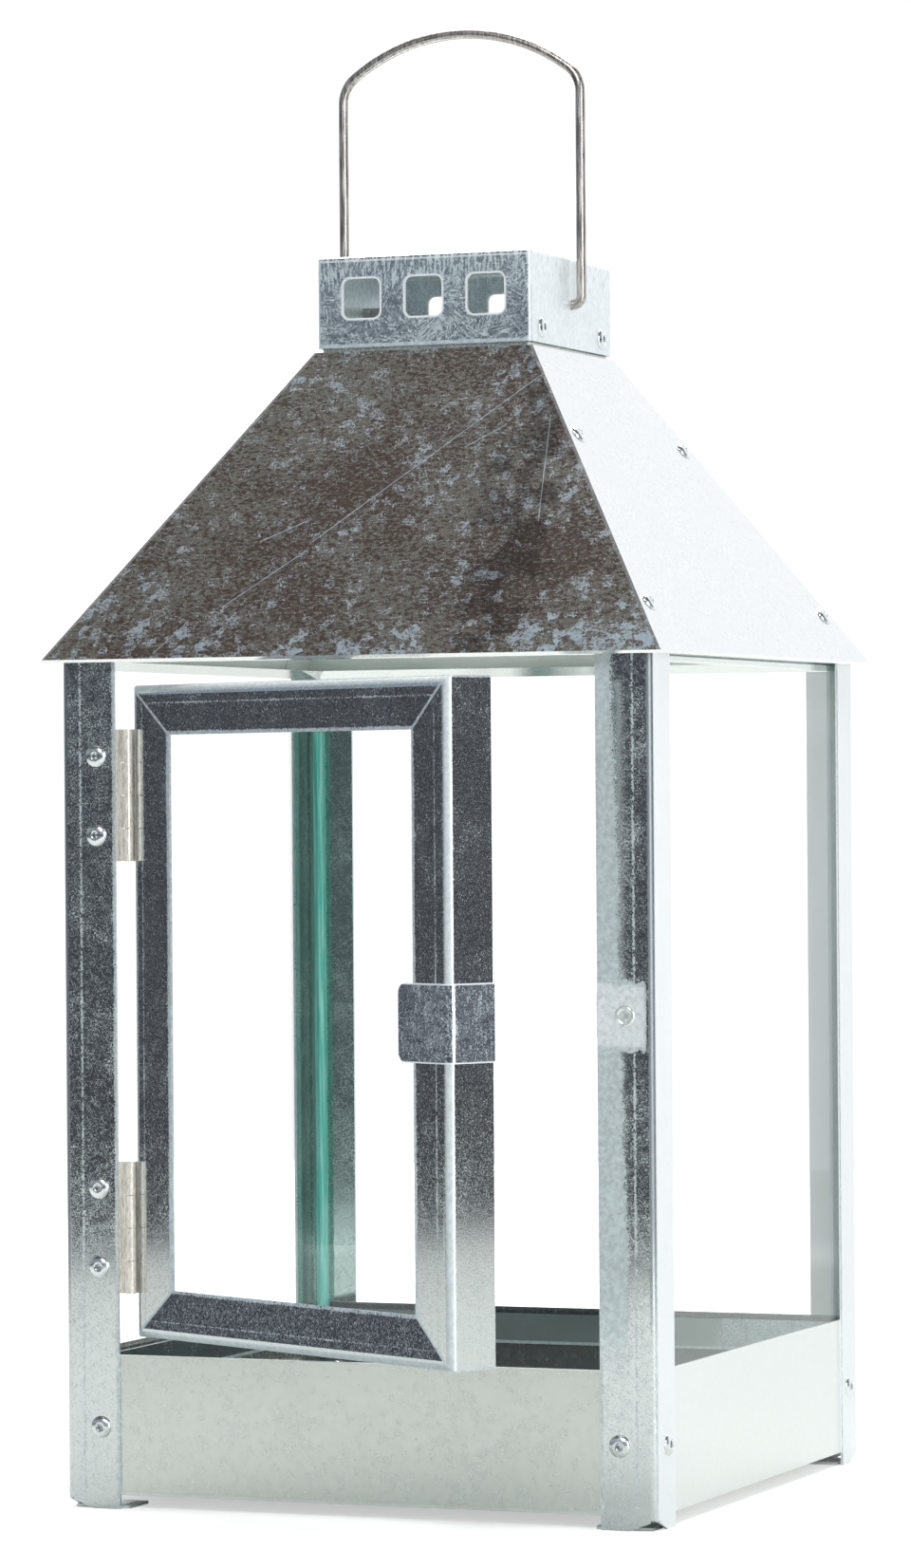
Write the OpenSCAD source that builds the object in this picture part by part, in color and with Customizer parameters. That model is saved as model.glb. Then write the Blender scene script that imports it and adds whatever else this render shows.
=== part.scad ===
// Square candle lantern of galvanised sheet and clear glass: a shallow tray between four corner
// posts, a framed glass door on two butt hinges, a riveted pyramid roof, a vented cap and a wire
// bail. The origin is the centre of the footprint on the floor, the front faces -Y, +Z is up.

/* [Body] */
// Width across the corner posts
body_w = 172; // [150:1:200]
// Depth across the corner posts
body_d = 172; // [150:1:200]
// Height of the corner posts
post_h = 231.2; // [200:0.1:260]
// Thickness of the sheet metal
sheet = 0.8; // [0.6:0.1:1]
// Outer radius of a bent corner of the tray and the cap
bend_r = 1.2; // [1.1:0.1:2]
// Outer radius of the bend along the posts
angle_r = 2; // [1.2:0.1:2.4]

/* [Posts] */
// Width of a front post's face on the door side
front_leg = 16; // [14:0.5:18]
// Width of the other post faces
side_leg = 14; // [12:0.5:16]
// How far a foot plate reaches in from the post's corner
foot_reach = 18; // [15:1:22]
// How far a foot plate stays back from the post's corner
foot_setback = 2; // [1.5:0.5:3]
// Width of the relief cut at the foot of a post's corner
relief_w = 8; // [6:0.5:9]
// Height of the relief cut at the post's corner
relief_h = 3; // [2:0.2:4]

/* [Tray] */
// Clear height under the tray
tray_lift = 3.7; // [3:0.1:6]
// Height of the tray's top edge above the floor
tray_top = 42; // [36:1:50]
// Height of the fold along the tray's front edge
hem_h = 9; // [6:0.5:12]

/* [Glass] */
// Thickness of a pane
pane_t = 2; // [1.6:0.1:2.4]
// Room on each side of a pane in its channel
pane_play = 0.1; // [0.05:0.05:0.2]
// Room at the ends of a pane and of its channel
pane_end_gap = 0.3; // [0.2:0.1:0.6]
// Height of the channel that holds the foot of a pane
channel_h = 9; // [6:0.5:12]

/* [Roof] */
// How far the eave stands out past the posts
eave_out = 4; // [2:0.5:8]
// Drop of the lip that holds the tops of the panes
lip_drop = 1.8; // [1.2:0.1:3]
// Height of the roof from the eave frame to its top edge
roof_h = 86; // [70:1:110]
// How far the roof's top edge stands out past the cap
roof_ledge = 0.6; // [0.4:0.1:1.2]
// Width of the flanges that the front and rear sheets turn under the side sheets
hip_flange = 14; // [12:0.5:18]
// Level of the upper roof rivets above the eave frame
roof_rivet_hi = 60.5; // [50:0.5:64]
// Level of the lower roof rivets above the eave frame
roof_rivet_lo = 13.3; // [10:0.1:20]
// Distance of a roof rivet from the hip, measured level
hip_to_rivet = 7; // [6:0.5:8]

/* [Cap] */
// Width and depth of the cap
cap_w = 64; // [58:1:70]
// Height of the cap
cap_h = 25.4; // [23:0.1:30]
// Height of collar that shows between the roof and the cap
collar_show = 1.2; // [0.8:0.1:3]
// Room between the collar and the sheets round it
collar_play = 0.1; // [0.05:0.05:0.3]
// How far the collar reaches down into the roof
collar_down = 4; // [2:0.5:8]
// How far the collar reaches up into the cap
collar_up = 7.4; // [6:0.1:7.6]
// Side of a square vent hole
vent_size = 11; // [8:0.5:13]
// Corner radius of a vent hole
vent_r = 2; // [1:0.5:3]
// Distance between vent centres
vent_pitch = 18.6; // [16:0.2:19]
// Height of the vent centres above the cap's lower edge
vent_z = 13.6; // [13.4:0.1:15]
// Distance of the cap rivets from the middle of a side
cap_rivet_y = 23.5; // [18:0.5:25]
// Height of the cap rivets above the cap's lower edge
cap_rivet_z = 4.4; // [3.6:0.1:5]

/* [Bail] */
// Thickness of the bail's wire
wire_d = 2.8; // [2:0.1:3.2]
// Distance from the cap's sides to the middle of the bail's legs
bail_stand = 4; // [3:0.1:8]
// Room between the cap's side and the start of the bends at the bail's feet
foot_bend_gap = 0.4; // [0.1:0.1:1]
// Height of the bail above its pivot, to the wire's centre
bail_h = 77.7; // [70:0.1:90]
// How far the bail sits right of the middle, within its side play
bail_shift = -1.1; // [-1.5:0.1:1.5]
// Radius of the bail's arch
arch_r = 54; // [50:1:56]
// Radius of the bend between a leg and the arch
shoulder_r = 9; // [6:0.5:10]
// Length of wire inside the cap's wall
bail_end = 10; // [6:0.5:14]
// Height of the bail's pivot above the cap's lower edge
bail_pivot_z = 12.3; // [11:0.1:14]
// Running room round the wire in the cap's holes
bail_play = 0.08; // [0.05:0.01:0.1]

/* [Door] */
// Angle at which the door stands open
door_open = 28.1; // [0:0.1:60]
// Gap between the door and the post on the latch side
latch_gap = 2.8; // [2.6:0.1:4]
// Gap between the tray's top edge and the door
door_foot_gap = 4.9; // [3:0.1:8]
// Gap between the door and the eave frame
door_head_gap = 6.3; // [4:0.1:10]
// Face width of the door's stile on the hinge side
hinge_stile_w = 17.1; // [14:0.1:19]
// Face width of the door's stile on the latch side
latch_stile_w = 14.1; // [12:0.1:18]
// Face width of the door's rails
rail_w = 13.7; // [12:0.1:18]
// Depth of the door frame
door_t = 15; // [14:0.1:18]
// Depth of the hinge stile's leg, which the hinges are riveted to
hinge_return = 11; // [11:0.1:13]
// Outer radius of the bends along the door's members
door_bend_r = 2.7; // [1.4:0.1:3]
// Room between the hinge knuckles and the door's face behind them
face_gap = 0.3; // [0.2:0.05:0.6]
// Width of a pane clip in the door
clip_w = 8; // [6:0.5:12]
// Length of each leg of a pane clip
clip_leg = 4; // [3:0.5:6]
// Thickness of a pane clip
clip_t = 0.5; // [0.4:0.1:0.6]

/* [Hinges] */
// Height of a hinge
hinge_h = 36; // [32:1:44]
// Outer radius of the hinge knuckles
knuckle_r = 1.5; // [1.4:0.05:1.7]
// Thickness of a hinge leaf
leaf_t = 0.8; // [0.6:0.1:0.9]
// Reach of the post leaf from the hinge axis
post_leaf_w = 14; // [13:0.5:15]
// Reach of the door leaf from the hinge axis
door_leaf_w = 13.5; // [13:0.5:14]
// Distance of the hinge axis from the edge of the post
hinge_gap = 3.7; // [3.5:0.1:5]
// Radius of a hinge pin
pin_r = 0.6; // [0.5:0.05:0.7]
// Running room between a pin and the door's knuckles
pin_play = 0.05; // [0.03:0.01:0.08]
// Gap between neighbouring knuckles
knuckle_gap = 0.2; // [0.1:0.05:0.4]
// Distance of a leaf's edge from the axis beside the other leaf's knuckles
leaf_relief = 2.4; // [2.2:0.1:4]
// Distance of each hinge's middle from the near end of the door
hinge_inset = 30; // [22:0.5:60]
// Distance between the two rivets of a hinge leaf
hinge_rivet_gap = 21.6; // [16:0.2:24]
// Distance of a hinge rivet from the hinge axis
hinge_rivet_reach = 9.4; // [8.5:0.1:9.8]

/* [Latch] */
// Height of the latch clip on the door's edge
latch_h = 20.5; // [16:0.5:28]
// Level of the latch's middle above the door's own middle
latch_rise = -0.1; // [-30:0.1:30]
// Length of the latch clip on the door's face
latch_face = 20; // [16:0.5:24]
// Corner radius of the clip's free end
latch_r = 2.8; // [1:0.1:4]
// Thickness of the latch clip
latch_t = 0.7; // [0.5:0.1:0.8]
// Thickness of the catch spring behind the post
catch_t = 0.5; // [0.4:0.1:0.6]
// Height of the catch spring
catch_h = 12; // [9:0.5:16]
// Distance of the catch rivet from the post's corner
catch_rivet_x = 8.3; // [7:0.1:9]
// Reach of the catch spring's tongue behind the post
catch_reach = 12; // [8:0.5:14]
// Radius of the catch rivet's flat head
catch_head_r = 2.8; // [2.4:0.1:3.2]
// Height of the catch rivet's flat head
catch_head_h = 0.3; // [0.2:0.1:0.6]
// Length of the catch rivet's formed end
catch_tail_h = 0.9; // [0.6:0.1:1.4]
// Radius of the groove in the catch rivet's head
catch_groove_r = 2.1; // [1.8:0.1:2.1]
// Width of the groove in the catch rivet's head
catch_groove_w = 0.5; // [0.3:0.1:0.6]
// Room between the catch spring and the sweep of the door's edge
catch_play = 0.3; // [0.2:0.05:0.5]

/* [Rivets] */
// Radius of a blind rivet's head
head_r = 3; // [2.6:0.1:3.3]
// Height of a blind rivet's head
head_h = 1.1; // [0.8:0.1:1.4]
// Radius of a rivet's shank
shank_r = 1.5; // [1.3:0.05:1.6]
// Room round a rivet's shank in its hole
shank_play = 0.05; // [0.02:0.01:0.1]
// Radius of the formed end inside
tail_r = 2.2; // [1.8:0.1:2.4]
// Length of the formed end inside
tail_h = 1.8; // [1.2:0.1:2.4]
// Radius of the hollow left by the mandrel
mandrel_r = 0.8; // [0.6:0.1:1]
// Depth of that hollow below the top of the head
mandrel_deep = 0.8; // [0.4:0.1:1]
// Height of the tray rivets above the floor
tray_rivet_z = 22.3; // [16:0.1:28]
// Distance of the front tray rivets from the post's corner
tray_rivet_front = 10.5; // [8:0.5:11]
// Distance of the other tray rivets from the post's corner
tray_rivet_side = 8.5; // [7.5:0.5:9]

/* [Hidden] */
$fn = 48;

half_w = body_w / 2;
half_d = body_d / 2;
inner_w = half_w - sheet;
inner_d = half_d - sheet;

// Size of the blocks that stand for all space, and how far a cut runs past a face
far = 400;
cut = 1;

// Glass on the three fixed sides stands in channels inside the tray's walls.
pane_slot = pane_t + 2 * pane_play;
pane_out_w = inner_w - sheet - pane_play;
pane_out_d = inner_d - sheet - pane_play;
channel_w = inner_w - sheet - pane_slot;
channel_d = inner_d - sheet - pane_slot;
channel_z = tray_top - 2 * sheet - channel_h;
pane_z = channel_z + sheet;
pane_h = post_h - pane_end_gap - pane_z;

// Roof
eave_z = post_h + sheet;
eave_w = half_w + eave_out;
eave_d = half_d + eave_out;
roof_top = cap_w / 2 + roof_ledge;
roof_top_z = eave_z + roof_h;
slope_side = atan2(roof_h, eave_w - roof_top);
slope_front = atan2(roof_h, eave_d - roof_top);

// Cap and bail
cap_z = roof_top_z + collar_show;
cap_half = cap_w / 2;
cap_in = cap_half - sheet;
collar_half_x = min(roof_top - 2 * sheet / sin(slope_side), cap_in) - collar_play;
collar_half_y = min(roof_top - sheet / sin(slope_front), cap_in) - collar_play;
cap_rivet_grip = cap_half - collar_half_x + sheet;
wire_r = wire_d / 2;
pivot_z = cap_z + bail_pivot_z;
leg_x = cap_half + bail_stand;
foot_bend_r = bail_stand - abs(bail_shift) - foot_bend_gap;
arch_z = pivot_z + bail_h - arch_r;
shoulder_x = leg_x - shoulder_r;
shoulder_rise = sqrt(pow(arch_r - shoulder_r, 2) - pow(shoulder_x, 2));
shoulder_z = arch_z + shoulder_rise;
shoulder_angle = atan2(shoulder_rise, shoulder_x);

// Hinge axis, and the door as it lies when shut
axis_x = -half_w + front_leg + hinge_gap;
axis_y = -inner_d + leaf_t - knuckle_r;
door_x0 = axis_x - knuckle_r + leaf_t;
door_x1 = half_w - front_leg - latch_gap;
door_w = door_x1 - door_x0;
door_z0 = tray_top + door_foot_gap;
door_z1 = post_h - door_head_gap;
door_h = door_z1 - door_z0;
door_y0 = axis_y + knuckle_r + face_gap;
door_y1 = door_y0 + door_t;
knuckle_h = hinge_h / 4;
hinge_low_z = door_z0 + hinge_inset;
hinge_high_z = door_z1 - hinge_inset;
HINGES = [hinge_low_z, hinge_high_z];

// Latch: the door's rear edge sweeps this far from the axis
latch_z = (door_z0 + door_z1) / 2 + latch_rise;
sweep_r = norm([door_x1 + latch_t - axis_x, door_y1 - axis_y]);
catch_x = axis_x + sweep_r + catch_play;

// ---------- shared shapes ----------

// Bent sheet angle in plan: outer corner at the origin, one leg along +X and one along +Y
module angle_section(leg_x_len, leg_y_len, t = sheet, r = angle_r) {
  translate([r, 0]) square([leg_x_len - r, t]);
  translate([0, r]) square([t, leg_y_len - r]);
  intersection() {
    square(r);
    translate([r, r]) difference() {
      circle(r);
      circle(r - t);
    }
  }
}

// Blind rivet along +Z: head above z = 0, shank down through the grip, formed end below it
module blind_rivet(grip) {
  dome_r = (head_r * head_r + head_h * head_h) / (2 * head_h);
  difference() {
    union() {
      rotate_extrude() intersection() {
        translate([0, head_h - dome_r]) circle(dome_r, $fn = 128);
        square([head_r, head_h]);
      }
      translate([0, 0, -grip - tail_h / 2]) cylinder(r = shank_r, h = grip + tail_h / 2);
      translate([0, 0, -grip - tail_h]) cylinder(r = tail_r, h = tail_h);
    }
    translate([0, 0, head_h - mandrel_deep]) cylinder(r = mandrel_r, h = head_h);
  }
}

// Hole for a rivet's shank through a sheet, along Z
module rivet_hole(grip) {
  translate([0, 0, -grip - cut]) cylinder(r = shank_r + shank_play, h = grip + 2 * cut);
}

// Rectangle about the origin with rounded corners
module rounded_rect(w, d, r) {
  square([w - 2 * r, d], center = true);
  square([w, d - 2 * r], center = true);
  for (x = [-1, 1], y = [-1, 1])
    translate([x * (w / 2 - r), y * (d / 2 - r)]) circle(r);
}

// Places children at the tray rivets, +Z pointing out of the face
module at_tray_rivets() {
  for (side = [-1, 1]) {
    translate([side * (half_w - tray_rivet_front), -half_d, tray_rivet_z])
      rotate([90, 0, 0]) children();
    translate([side * (half_w - tray_rivet_side), half_d, tray_rivet_z])
      rotate([-90, 0, 0]) children();
    for (end = [-1, 1])
      translate([side * half_w, end * (half_d - tray_rivet_side), tray_rivet_z])
        rotate([0, side * 90, 0]) children();
  }
}

// Places children at the levels of the two rivets of each hinge
module at_hinge_levels() {
  for (z = HINGES, end = [-1, 1])
    translate([0, 0, z + end * hinge_rivet_gap / 2]) children();
}

// Places children at the post rivets of both hinges
module at_hinge_post_rivets() {
  translate([axis_x - hinge_rivet_reach, -half_d, 0])
    at_hinge_levels() rotate([90, 0, 0]) children();
}

// Places children at the door rivets of both hinges, with the door shut
module at_hinge_door_rivets() {
  translate([door_x0 - leaf_t, axis_y + hinge_rivet_reach, 0])
    at_hinge_levels() rotate([0, -90, 0]) children();
}

// Places children at the catch rivet
module at_catch_rivet() {
  translate([half_w - catch_rivet_x, -half_d, latch_z]) rotate([90, 0, 0]) children();
}

// Swings children from the shut door to the angle at which it stands
module swung() {
  translate([axis_x, axis_y, 0]) rotate([0, 0, -door_open])
    translate([-axis_x, -axis_y, 0]) children();
}

// ---------- posts ----------

// Corner post: outer corner at the origin, legs along +X and +Y, foot plate folded in below
module post(face_leg) {
  wedge = [[-cut, -cut], [relief_w, -cut], [relief_w, 0], [0, relief_h], [-cut, relief_h]];
  difference() {
    linear_extrude(post_h) angle_section(face_leg, side_leg);
    translate([0, angle_r, 0]) rotate([90, 0, 0]) linear_extrude(angle_r + cut) polygon(wedge);
    translate([-cut, 0, 0]) rotate([90, 0, 90]) linear_extrude(angle_r + cut) polygon(wedge);
  }
  translate([relief_w, 0, 0]) cube([face_leg - relief_w, foot_setback + sheet, sheet]);
  translate([foot_setback, foot_setback, 0])
    cube([foot_reach - foot_setback, side_leg - foot_setback, sheet]);
}

// Post at the corner given by the signs of x and y, drilled for the tray rivets
module corner_post(x_sign, y_sign, face_leg) {
  difference() {
    translate([x_sign * half_w, y_sign * half_d, 0])
      mirror([max(x_sign, 0), 0, 0]) mirror([0, max(y_sign, 0), 0]) post(face_leg);
    at_tray_rivets() rivet_hole(2 * sheet);
  }
}

module post_front_left() {
  color("slategray") difference() {
    corner_post(-1, -1, front_leg);
    at_hinge_post_rivets() rivet_hole(sheet);
  }
}

module post_front_right() {
  color("slategray") difference() {
    corner_post(1, -1, front_leg);
    at_catch_rivet() rivet_hole(sheet);
  }
}

module post_rear_left() {
  color("slategray") corner_post(-1, 1, side_leg);
}

module post_rear_right() {
  color("slategray") corner_post(1, 1, side_leg);
}

// ---------- tray ----------

module tray() {
  hem_half = channel_w - sheet;
  color("darkgray") difference() {
    union() {
      difference() {
        translate([0, 0, tray_lift]) linear_extrude(tray_top - tray_lift)
          rounded_rect(2 * inner_w, 2 * inner_d, bend_r);
        translate([0, 0, tray_lift + sheet]) linear_extrude(tray_top)
          rounded_rect(2 * (inner_w - sheet), 2 * (inner_d - sheet), bend_r - sheet);
      }
      translate([-hem_half, -inner_d, tray_top - hem_h])
        cube([2 * hem_half, 2 * sheet, hem_h]);
    }
    at_tray_rivets() rivet_hole(2 * sheet);
  }
}

// ---------- glass ----------

// Channel section, its back on the Y axis and its slot opening upwards
module channel_section() {
  translate([0, channel_z]) square([pane_slot + sheet, sheet]);
  translate([pane_slot, channel_z]) square([sheet, channel_h]);
}

// Channel along the wall on the side given by the sign of x
module side_channel(x_sign) {
  front = -inner_d + sheet + pane_end_gap;
  rear = channel_d - sheet;
  color("gray") translate([x_sign * (inner_w - sheet), rear, 0]) mirror([max(x_sign, 0), 0, 0])
    rotate([90, 0, 0]) linear_extrude(rear - front) channel_section();
}

module pane_channel_left() {
  side_channel(-1);
}

module pane_channel_right() {
  side_channel(1);
}

module pane_channel_rear() {
  color("gray") translate([-channel_w, inner_d - sheet, 0]) mirror([0, 1, 0])
    rotate([90, 0, 90]) linear_extrude(2 * channel_w) channel_section();
}

// Pane on the side given by the sign of x
module side_pane(x_sign) {
  front = -inner_d + sheet + pane_end_gap;
  color("lightcyan", 0.4)
    translate([x_sign * (pane_out_w - pane_t / 2) - pane_t / 2, front, pane_z])
      cube([pane_t, pane_out_d - front, pane_h]);
}

module pane_left() {
  side_pane(-1);
}

module pane_right() {
  side_pane(1);
}

module pane_rear() {
  pane_half = pane_out_w - pane_t - pane_play;
  color("lightcyan", 0.4) translate([-pane_half, pane_out_d - pane_t, pane_z])
    cube([2 * pane_half, pane_t, pane_h]);
}

// ---------- roof ----------

// Square ring about the Z axis between two half sizes
module ring(out_w, out_d, in_w, in_d, z0, z1) {
  translate([0, 0, z0]) linear_extrude(z1 - z0) difference() {
    square([2 * out_w, 2 * out_d], center = true);
    square([2 * in_w, 2 * in_d], center = true);
  }
}

module eave_frame() {
  color("darkgray") {
    ring(eave_w, eave_d, channel_w - sheet, channel_d - sheet, post_h, eave_z);
    difference() {
      ring(channel_w, channel_d, channel_w - sheet, channel_d - sheet, post_h - lip_drop, eave_z);
      translate([sheet - channel_w, -channel_d - cut, post_h - lip_drop - cut])
        cube([2 * (channel_w - sheet), sheet + 2 * cut, lip_drop + cut]);
    }
  }
}

// All space more than depth below a roof plane; turn 0 is the front plane, 90 the right one
module below_roof(turn, depth) {
  is_side = turn % 180 != 0;
  rotate([0, 0, turn]) translate([0, is_side ? -eave_w : -eave_d, eave_z])
    rotate([is_side ? slope_side : slope_front, 0, 0])
      translate([-far, -far, -far - depth]) cube([2 * far, 3 * far, far]);
}

// Space between two depths below a roof plane
module roof_layer(turn, depth0, depth1) {
  difference() {
    below_roof(turn, depth0);
    below_roof(turn, depth1);
  }
}

// Horizontal slice that holds the roof
module roof_slice() {
  translate([-far / 2, -far / 2, eave_z]) cube([far, far, roof_h]);
}

// Places children at the rivets of one side sheet, +Z pointing out of the roof
module at_roof_rivets(turn) {
  for (level = [roof_rivet_lo, roof_rivet_hi], end = [-1, 1]) {
    along = eave_d - level / tan(slope_front) - hip_to_rivet;
    out = eave_w - level / tan(slope_side);
    rotate([0, 0, turn]) translate([end * along, -out, eave_z + level])
      rotate([slope_side, 0, 0]) children();
  }
}

// Front or rear sheet, with a flange along each hip that lies under the side sheet
module flanged_sheet(turn) {
  color("dimgray") difference() {
    intersection() {
      union() {
        intersection() {
          roof_layer(turn, 0, sheet);
          below_roof(90, sheet);
          below_roof(270, sheet);
        }
        for (side = [90, 270]) intersection() {
          roof_layer(side, sheet, 2 * sheet);
          roof_layer(turn, 0, hip_flange);
        }
      }
      roof_slice();
    }
    for (side = [90, 270]) at_roof_rivets(side) rivet_hole(2 * sheet);
  }
}

// Side sheet, lapped over the flanges of the front and rear sheets
module side_sheet(turn) {
  color("gainsboro") difference() {
    intersection() {
      roof_layer(turn, 0, sheet);
      below_roof(0, 0);
      below_roof(180, 0);
      roof_slice();
    }
    at_roof_rivets(turn) rivet_hole(sheet);
  }
}

module roof_front() {
  flanged_sheet(0);
}

module roof_rear() {
  flanged_sheet(180);
}

module roof_right() {
  side_sheet(90);
}

module roof_left() {
  side_sheet(270);
}

// ---------- cap ----------

// Places children at the cap rivets, +Z pointing out of the cap
module at_cap_rivets() {
  for (side = [-1, 1], end = [-1, 1])
    translate([side * cap_half, end * cap_rivet_y, cap_z + cap_rivet_z])
      rotate([0, side * 90, 0]) children();
}

module collar() {
  color("darkgray") difference() {
    ring(collar_half_x, collar_half_y, collar_half_x - sheet, collar_half_y - sheet,
      roof_top_z - collar_down, cap_z + collar_up);
    at_cap_rivets() rivet_hole(cap_rivet_grip);
  }
}

// Upright section of the cap, its top corners rounded
module cap_section(w, h, r) {
  translate([-w / 2, 0]) square([w, h - r]);
  translate([-w / 2 + r, 0]) square([w - 2 * r, h]);
  for (x = [-1, 1]) translate([x * (w / 2 - r), h - r]) circle(r);
}

// Block with its upright and upper edges rounded
module cap_block(w, h, r) {
  intersection() {
    linear_extrude(h) rounded_rect(w, w, r);
    rotate([90, 0, 0]) translate([0, 0, -w / 2]) linear_extrude(w) cap_section(w, h, r);
    rotate([90, 0, 90]) translate([0, 0, -w / 2]) linear_extrude(w) cap_section(w, h, r);
  }
}

module cap() {
  color("lightslategray") difference() {
    translate([0, 0, cap_z]) difference() {
      cap_block(cap_w, cap_h, bend_r);
      translate([0, 0, -cut]) cap_block(2 * cap_in, cap_h - sheet + cut, bend_r - sheet);
      for (x = [-vent_pitch, 0, vent_pitch]) translate([x, cap_w, vent_z])
        rotate([90, 0, 0]) linear_extrude(2 * cap_w) rounded_rect(vent_size, vent_size, vent_r);
      translate([-cap_w, 0, bail_pivot_z]) rotate([0, 90, 0])
        cylinder(r = wire_r + bail_play, h = 2 * cap_w);
    }
    at_cap_rivets() rivet_hole(cap_rivet_grip);
  }
}

// ---------- bail ----------

// Bend of the wire about the Z axis, starting on +X
module wire_bend(radius, angle) {
  rotate_extrude(angle = angle) translate([radius, 0]) circle(wire_r);
}

// Right leg of the bail with its foot and shoulder, in the XY plane with Y for height
module bail_leg() {
  leg_foot = pivot_z + foot_bend_r;
  inner_end = cap_in - bail_end;
  translate([inner_end, pivot_z, 0]) rotate([0, 90, 0])
    cylinder(r = wire_r, h = leg_x - foot_bend_r - inner_end);
  translate([leg_x - foot_bend_r, leg_foot, 0]) rotate([0, 0, -90]) wire_bend(foot_bend_r, 90);
  translate([leg_x, leg_foot, 0]) rotate([-90, 0, 0])
    cylinder(r = wire_r, h = shoulder_z - leg_foot);
  translate([shoulder_x, shoulder_z, 0]) wire_bend(shoulder_r, shoulder_angle);
}

module bail() {
  color("rosybrown") translate([bail_shift, 0, 0]) rotate([90, 0, 0]) {
    bail_leg();
    mirror([1, 0, 0]) bail_leg();
    translate([0, arch_z, 0]) rotate([0, 0, shoulder_angle])
      wire_bend(arch_r, 180 - 2 * shoulder_angle);
  }
}

// ---------- hinges ----------

// Knuckles numbered from the foot of a hinge whose middle is at z
module knuckles(z, numbers, bore_r) {
  for (i = numbers) translate([axis_x, axis_y, z - hinge_h / 2 + i * knuckle_h + knuckle_gap / 2])
    difference() {
      cylinder(r = knuckle_r, h = knuckle_h - knuckle_gap);
      translate([0, 0, -cut]) cylinder(r = bore_r, h = knuckle_h + 2 * cut);
    }
}

// Room that one leaf leaves for the other leaf's knuckles
module knuckle_notches(z, numbers) {
  for (i = numbers)
    translate([axis_x - leaf_relief, axis_y - leaf_relief, z - hinge_h / 2 + i * knuckle_h
      - (i == 0 ? cut : knuckle_gap / 2)])
      cube([2 * leaf_relief, 2 * leaf_relief,
        knuckle_h + (i == 0 ? cut : knuckle_gap / 2) + (i == 3 ? cut : knuckle_gap / 2)]);
}

module post_leaf(z) {
  color("tan") {
    difference() {
      translate([axis_x - post_leaf_w, axis_y + knuckle_r - leaf_t, z - hinge_h / 2])
        cube([post_leaf_w, leaf_t, hinge_h]);
      knuckle_notches(z, [0, 2]);
      translate([axis_x, axis_y, z - hinge_h]) cylinder(r = pin_r, h = 2 * hinge_h);
      at_hinge_post_rivets() rivet_hole(sheet + leaf_t);
    }
    knuckles(z, [1, 3], pin_r);
  }
}

module door_leaf(z) {
  color("tan") swung() {
    difference() {
      translate([door_x0 - leaf_t, axis_y, z - hinge_h / 2])
        cube([leaf_t, door_leaf_w, hinge_h]);
      knuckle_notches(z, [1, 3]);
      translate([axis_x, axis_y, z - hinge_h])
        cylinder(r = pin_r + pin_play, h = 2 * hinge_h);
      at_hinge_door_rivets() rivet_hole(leaf_t);
    }
    knuckles(z, [0, 2], pin_r + pin_play);
  }
}

module hinge_pin(z) {
  color("tan") translate([axis_x, axis_y, z - hinge_h / 2]) cylinder(r = pin_r, h = hinge_h);
}

module hinge_upper_post_leaf() {
  post_leaf(hinge_high_z);
}

module hinge_lower_post_leaf() {
  post_leaf(hinge_low_z);
}

module hinge_upper_door_leaf() {
  door_leaf(hinge_high_z);
}

module hinge_lower_door_leaf() {
  door_leaf(hinge_low_z);
}

module hinge_upper_pin() {
  hinge_pin(hinge_high_z);
}

module hinge_lower_pin() {
  hinge_pin(hinge_low_z);
}

// ---------- door ----------

// Keeps the part of a door member inside an outline in the door's face, with mitred ends
module mitred(outline) {
  intersection() {
    children();
    translate([0, door_y1 + cut, 0]) rotate([90, 0, 0])
      linear_extrude(door_t + 2 * cut) polygon(outline);
  }
}

module door_stile_hinge() {
  inner_x = door_x0 + hinge_stile_w;
  color("slategray") swung() difference() {
    mitred([[door_x0, door_z0], [inner_x, door_z0 + rail_w], [inner_x, door_z1 - rail_w],
      [door_x0, door_z1]])
      translate([door_x0, door_y0, door_z0]) linear_extrude(door_h)
        angle_section(hinge_stile_w, hinge_return, sheet, door_bend_r);
    at_hinge_door_rivets() rivet_hole(leaf_t + sheet);
  }
}

module door_stile_latch() {
  inner_x = door_x1 - latch_stile_w;
  color("slategray") swung()
    mitred([[door_x1, door_z0], [door_x1, door_z1], [inner_x, door_z1 - rail_w],
      [inner_x, door_z0 + rail_w]])
      translate([door_x1, door_y0, door_z0]) mirror([1, 0, 0]) linear_extrude(door_h)
        angle_section(latch_stile_w, door_t, sheet, door_bend_r);
}

module door_rail_bottom() {
  inner_z = door_z0 + rail_w;
  color("slategray") swung()
    mitred([[door_x0, door_z0], [door_x1, door_z0], [door_x1 - latch_stile_w, inner_z],
      [door_x0 + hinge_stile_w, inner_z]])
      translate([door_x0, door_y0, door_z0]) rotate([90, 0, 90]) linear_extrude(door_w)
        angle_section(door_t, rail_w, sheet, door_bend_r);
}

module door_rail_top() {
  inner_z = door_z1 - rail_w;
  color("slategray") swung()
    mitred([[door_x0, door_z1], [door_x0 + hinge_stile_w, inner_z],
      [door_x1 - latch_stile_w, inner_z], [door_x1, door_z1]])
      translate([door_x0, door_y0, door_z1]) mirror([0, 0, 1]) rotate([90, 0, 90])
        linear_extrude(door_w) angle_section(door_t, rail_w, sheet, door_bend_r);
}

door_pane_y = door_y0 + sheet + pane_play;

module door_pane() {
  color("lightcyan", 0.4) swung()
    translate([door_x0 + door_bend_r, door_pane_y, door_z0 + door_bend_r])
      cube([door_w - 2 * door_bend_r, pane_t, door_h - 2 * door_bend_r]);
}

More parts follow.
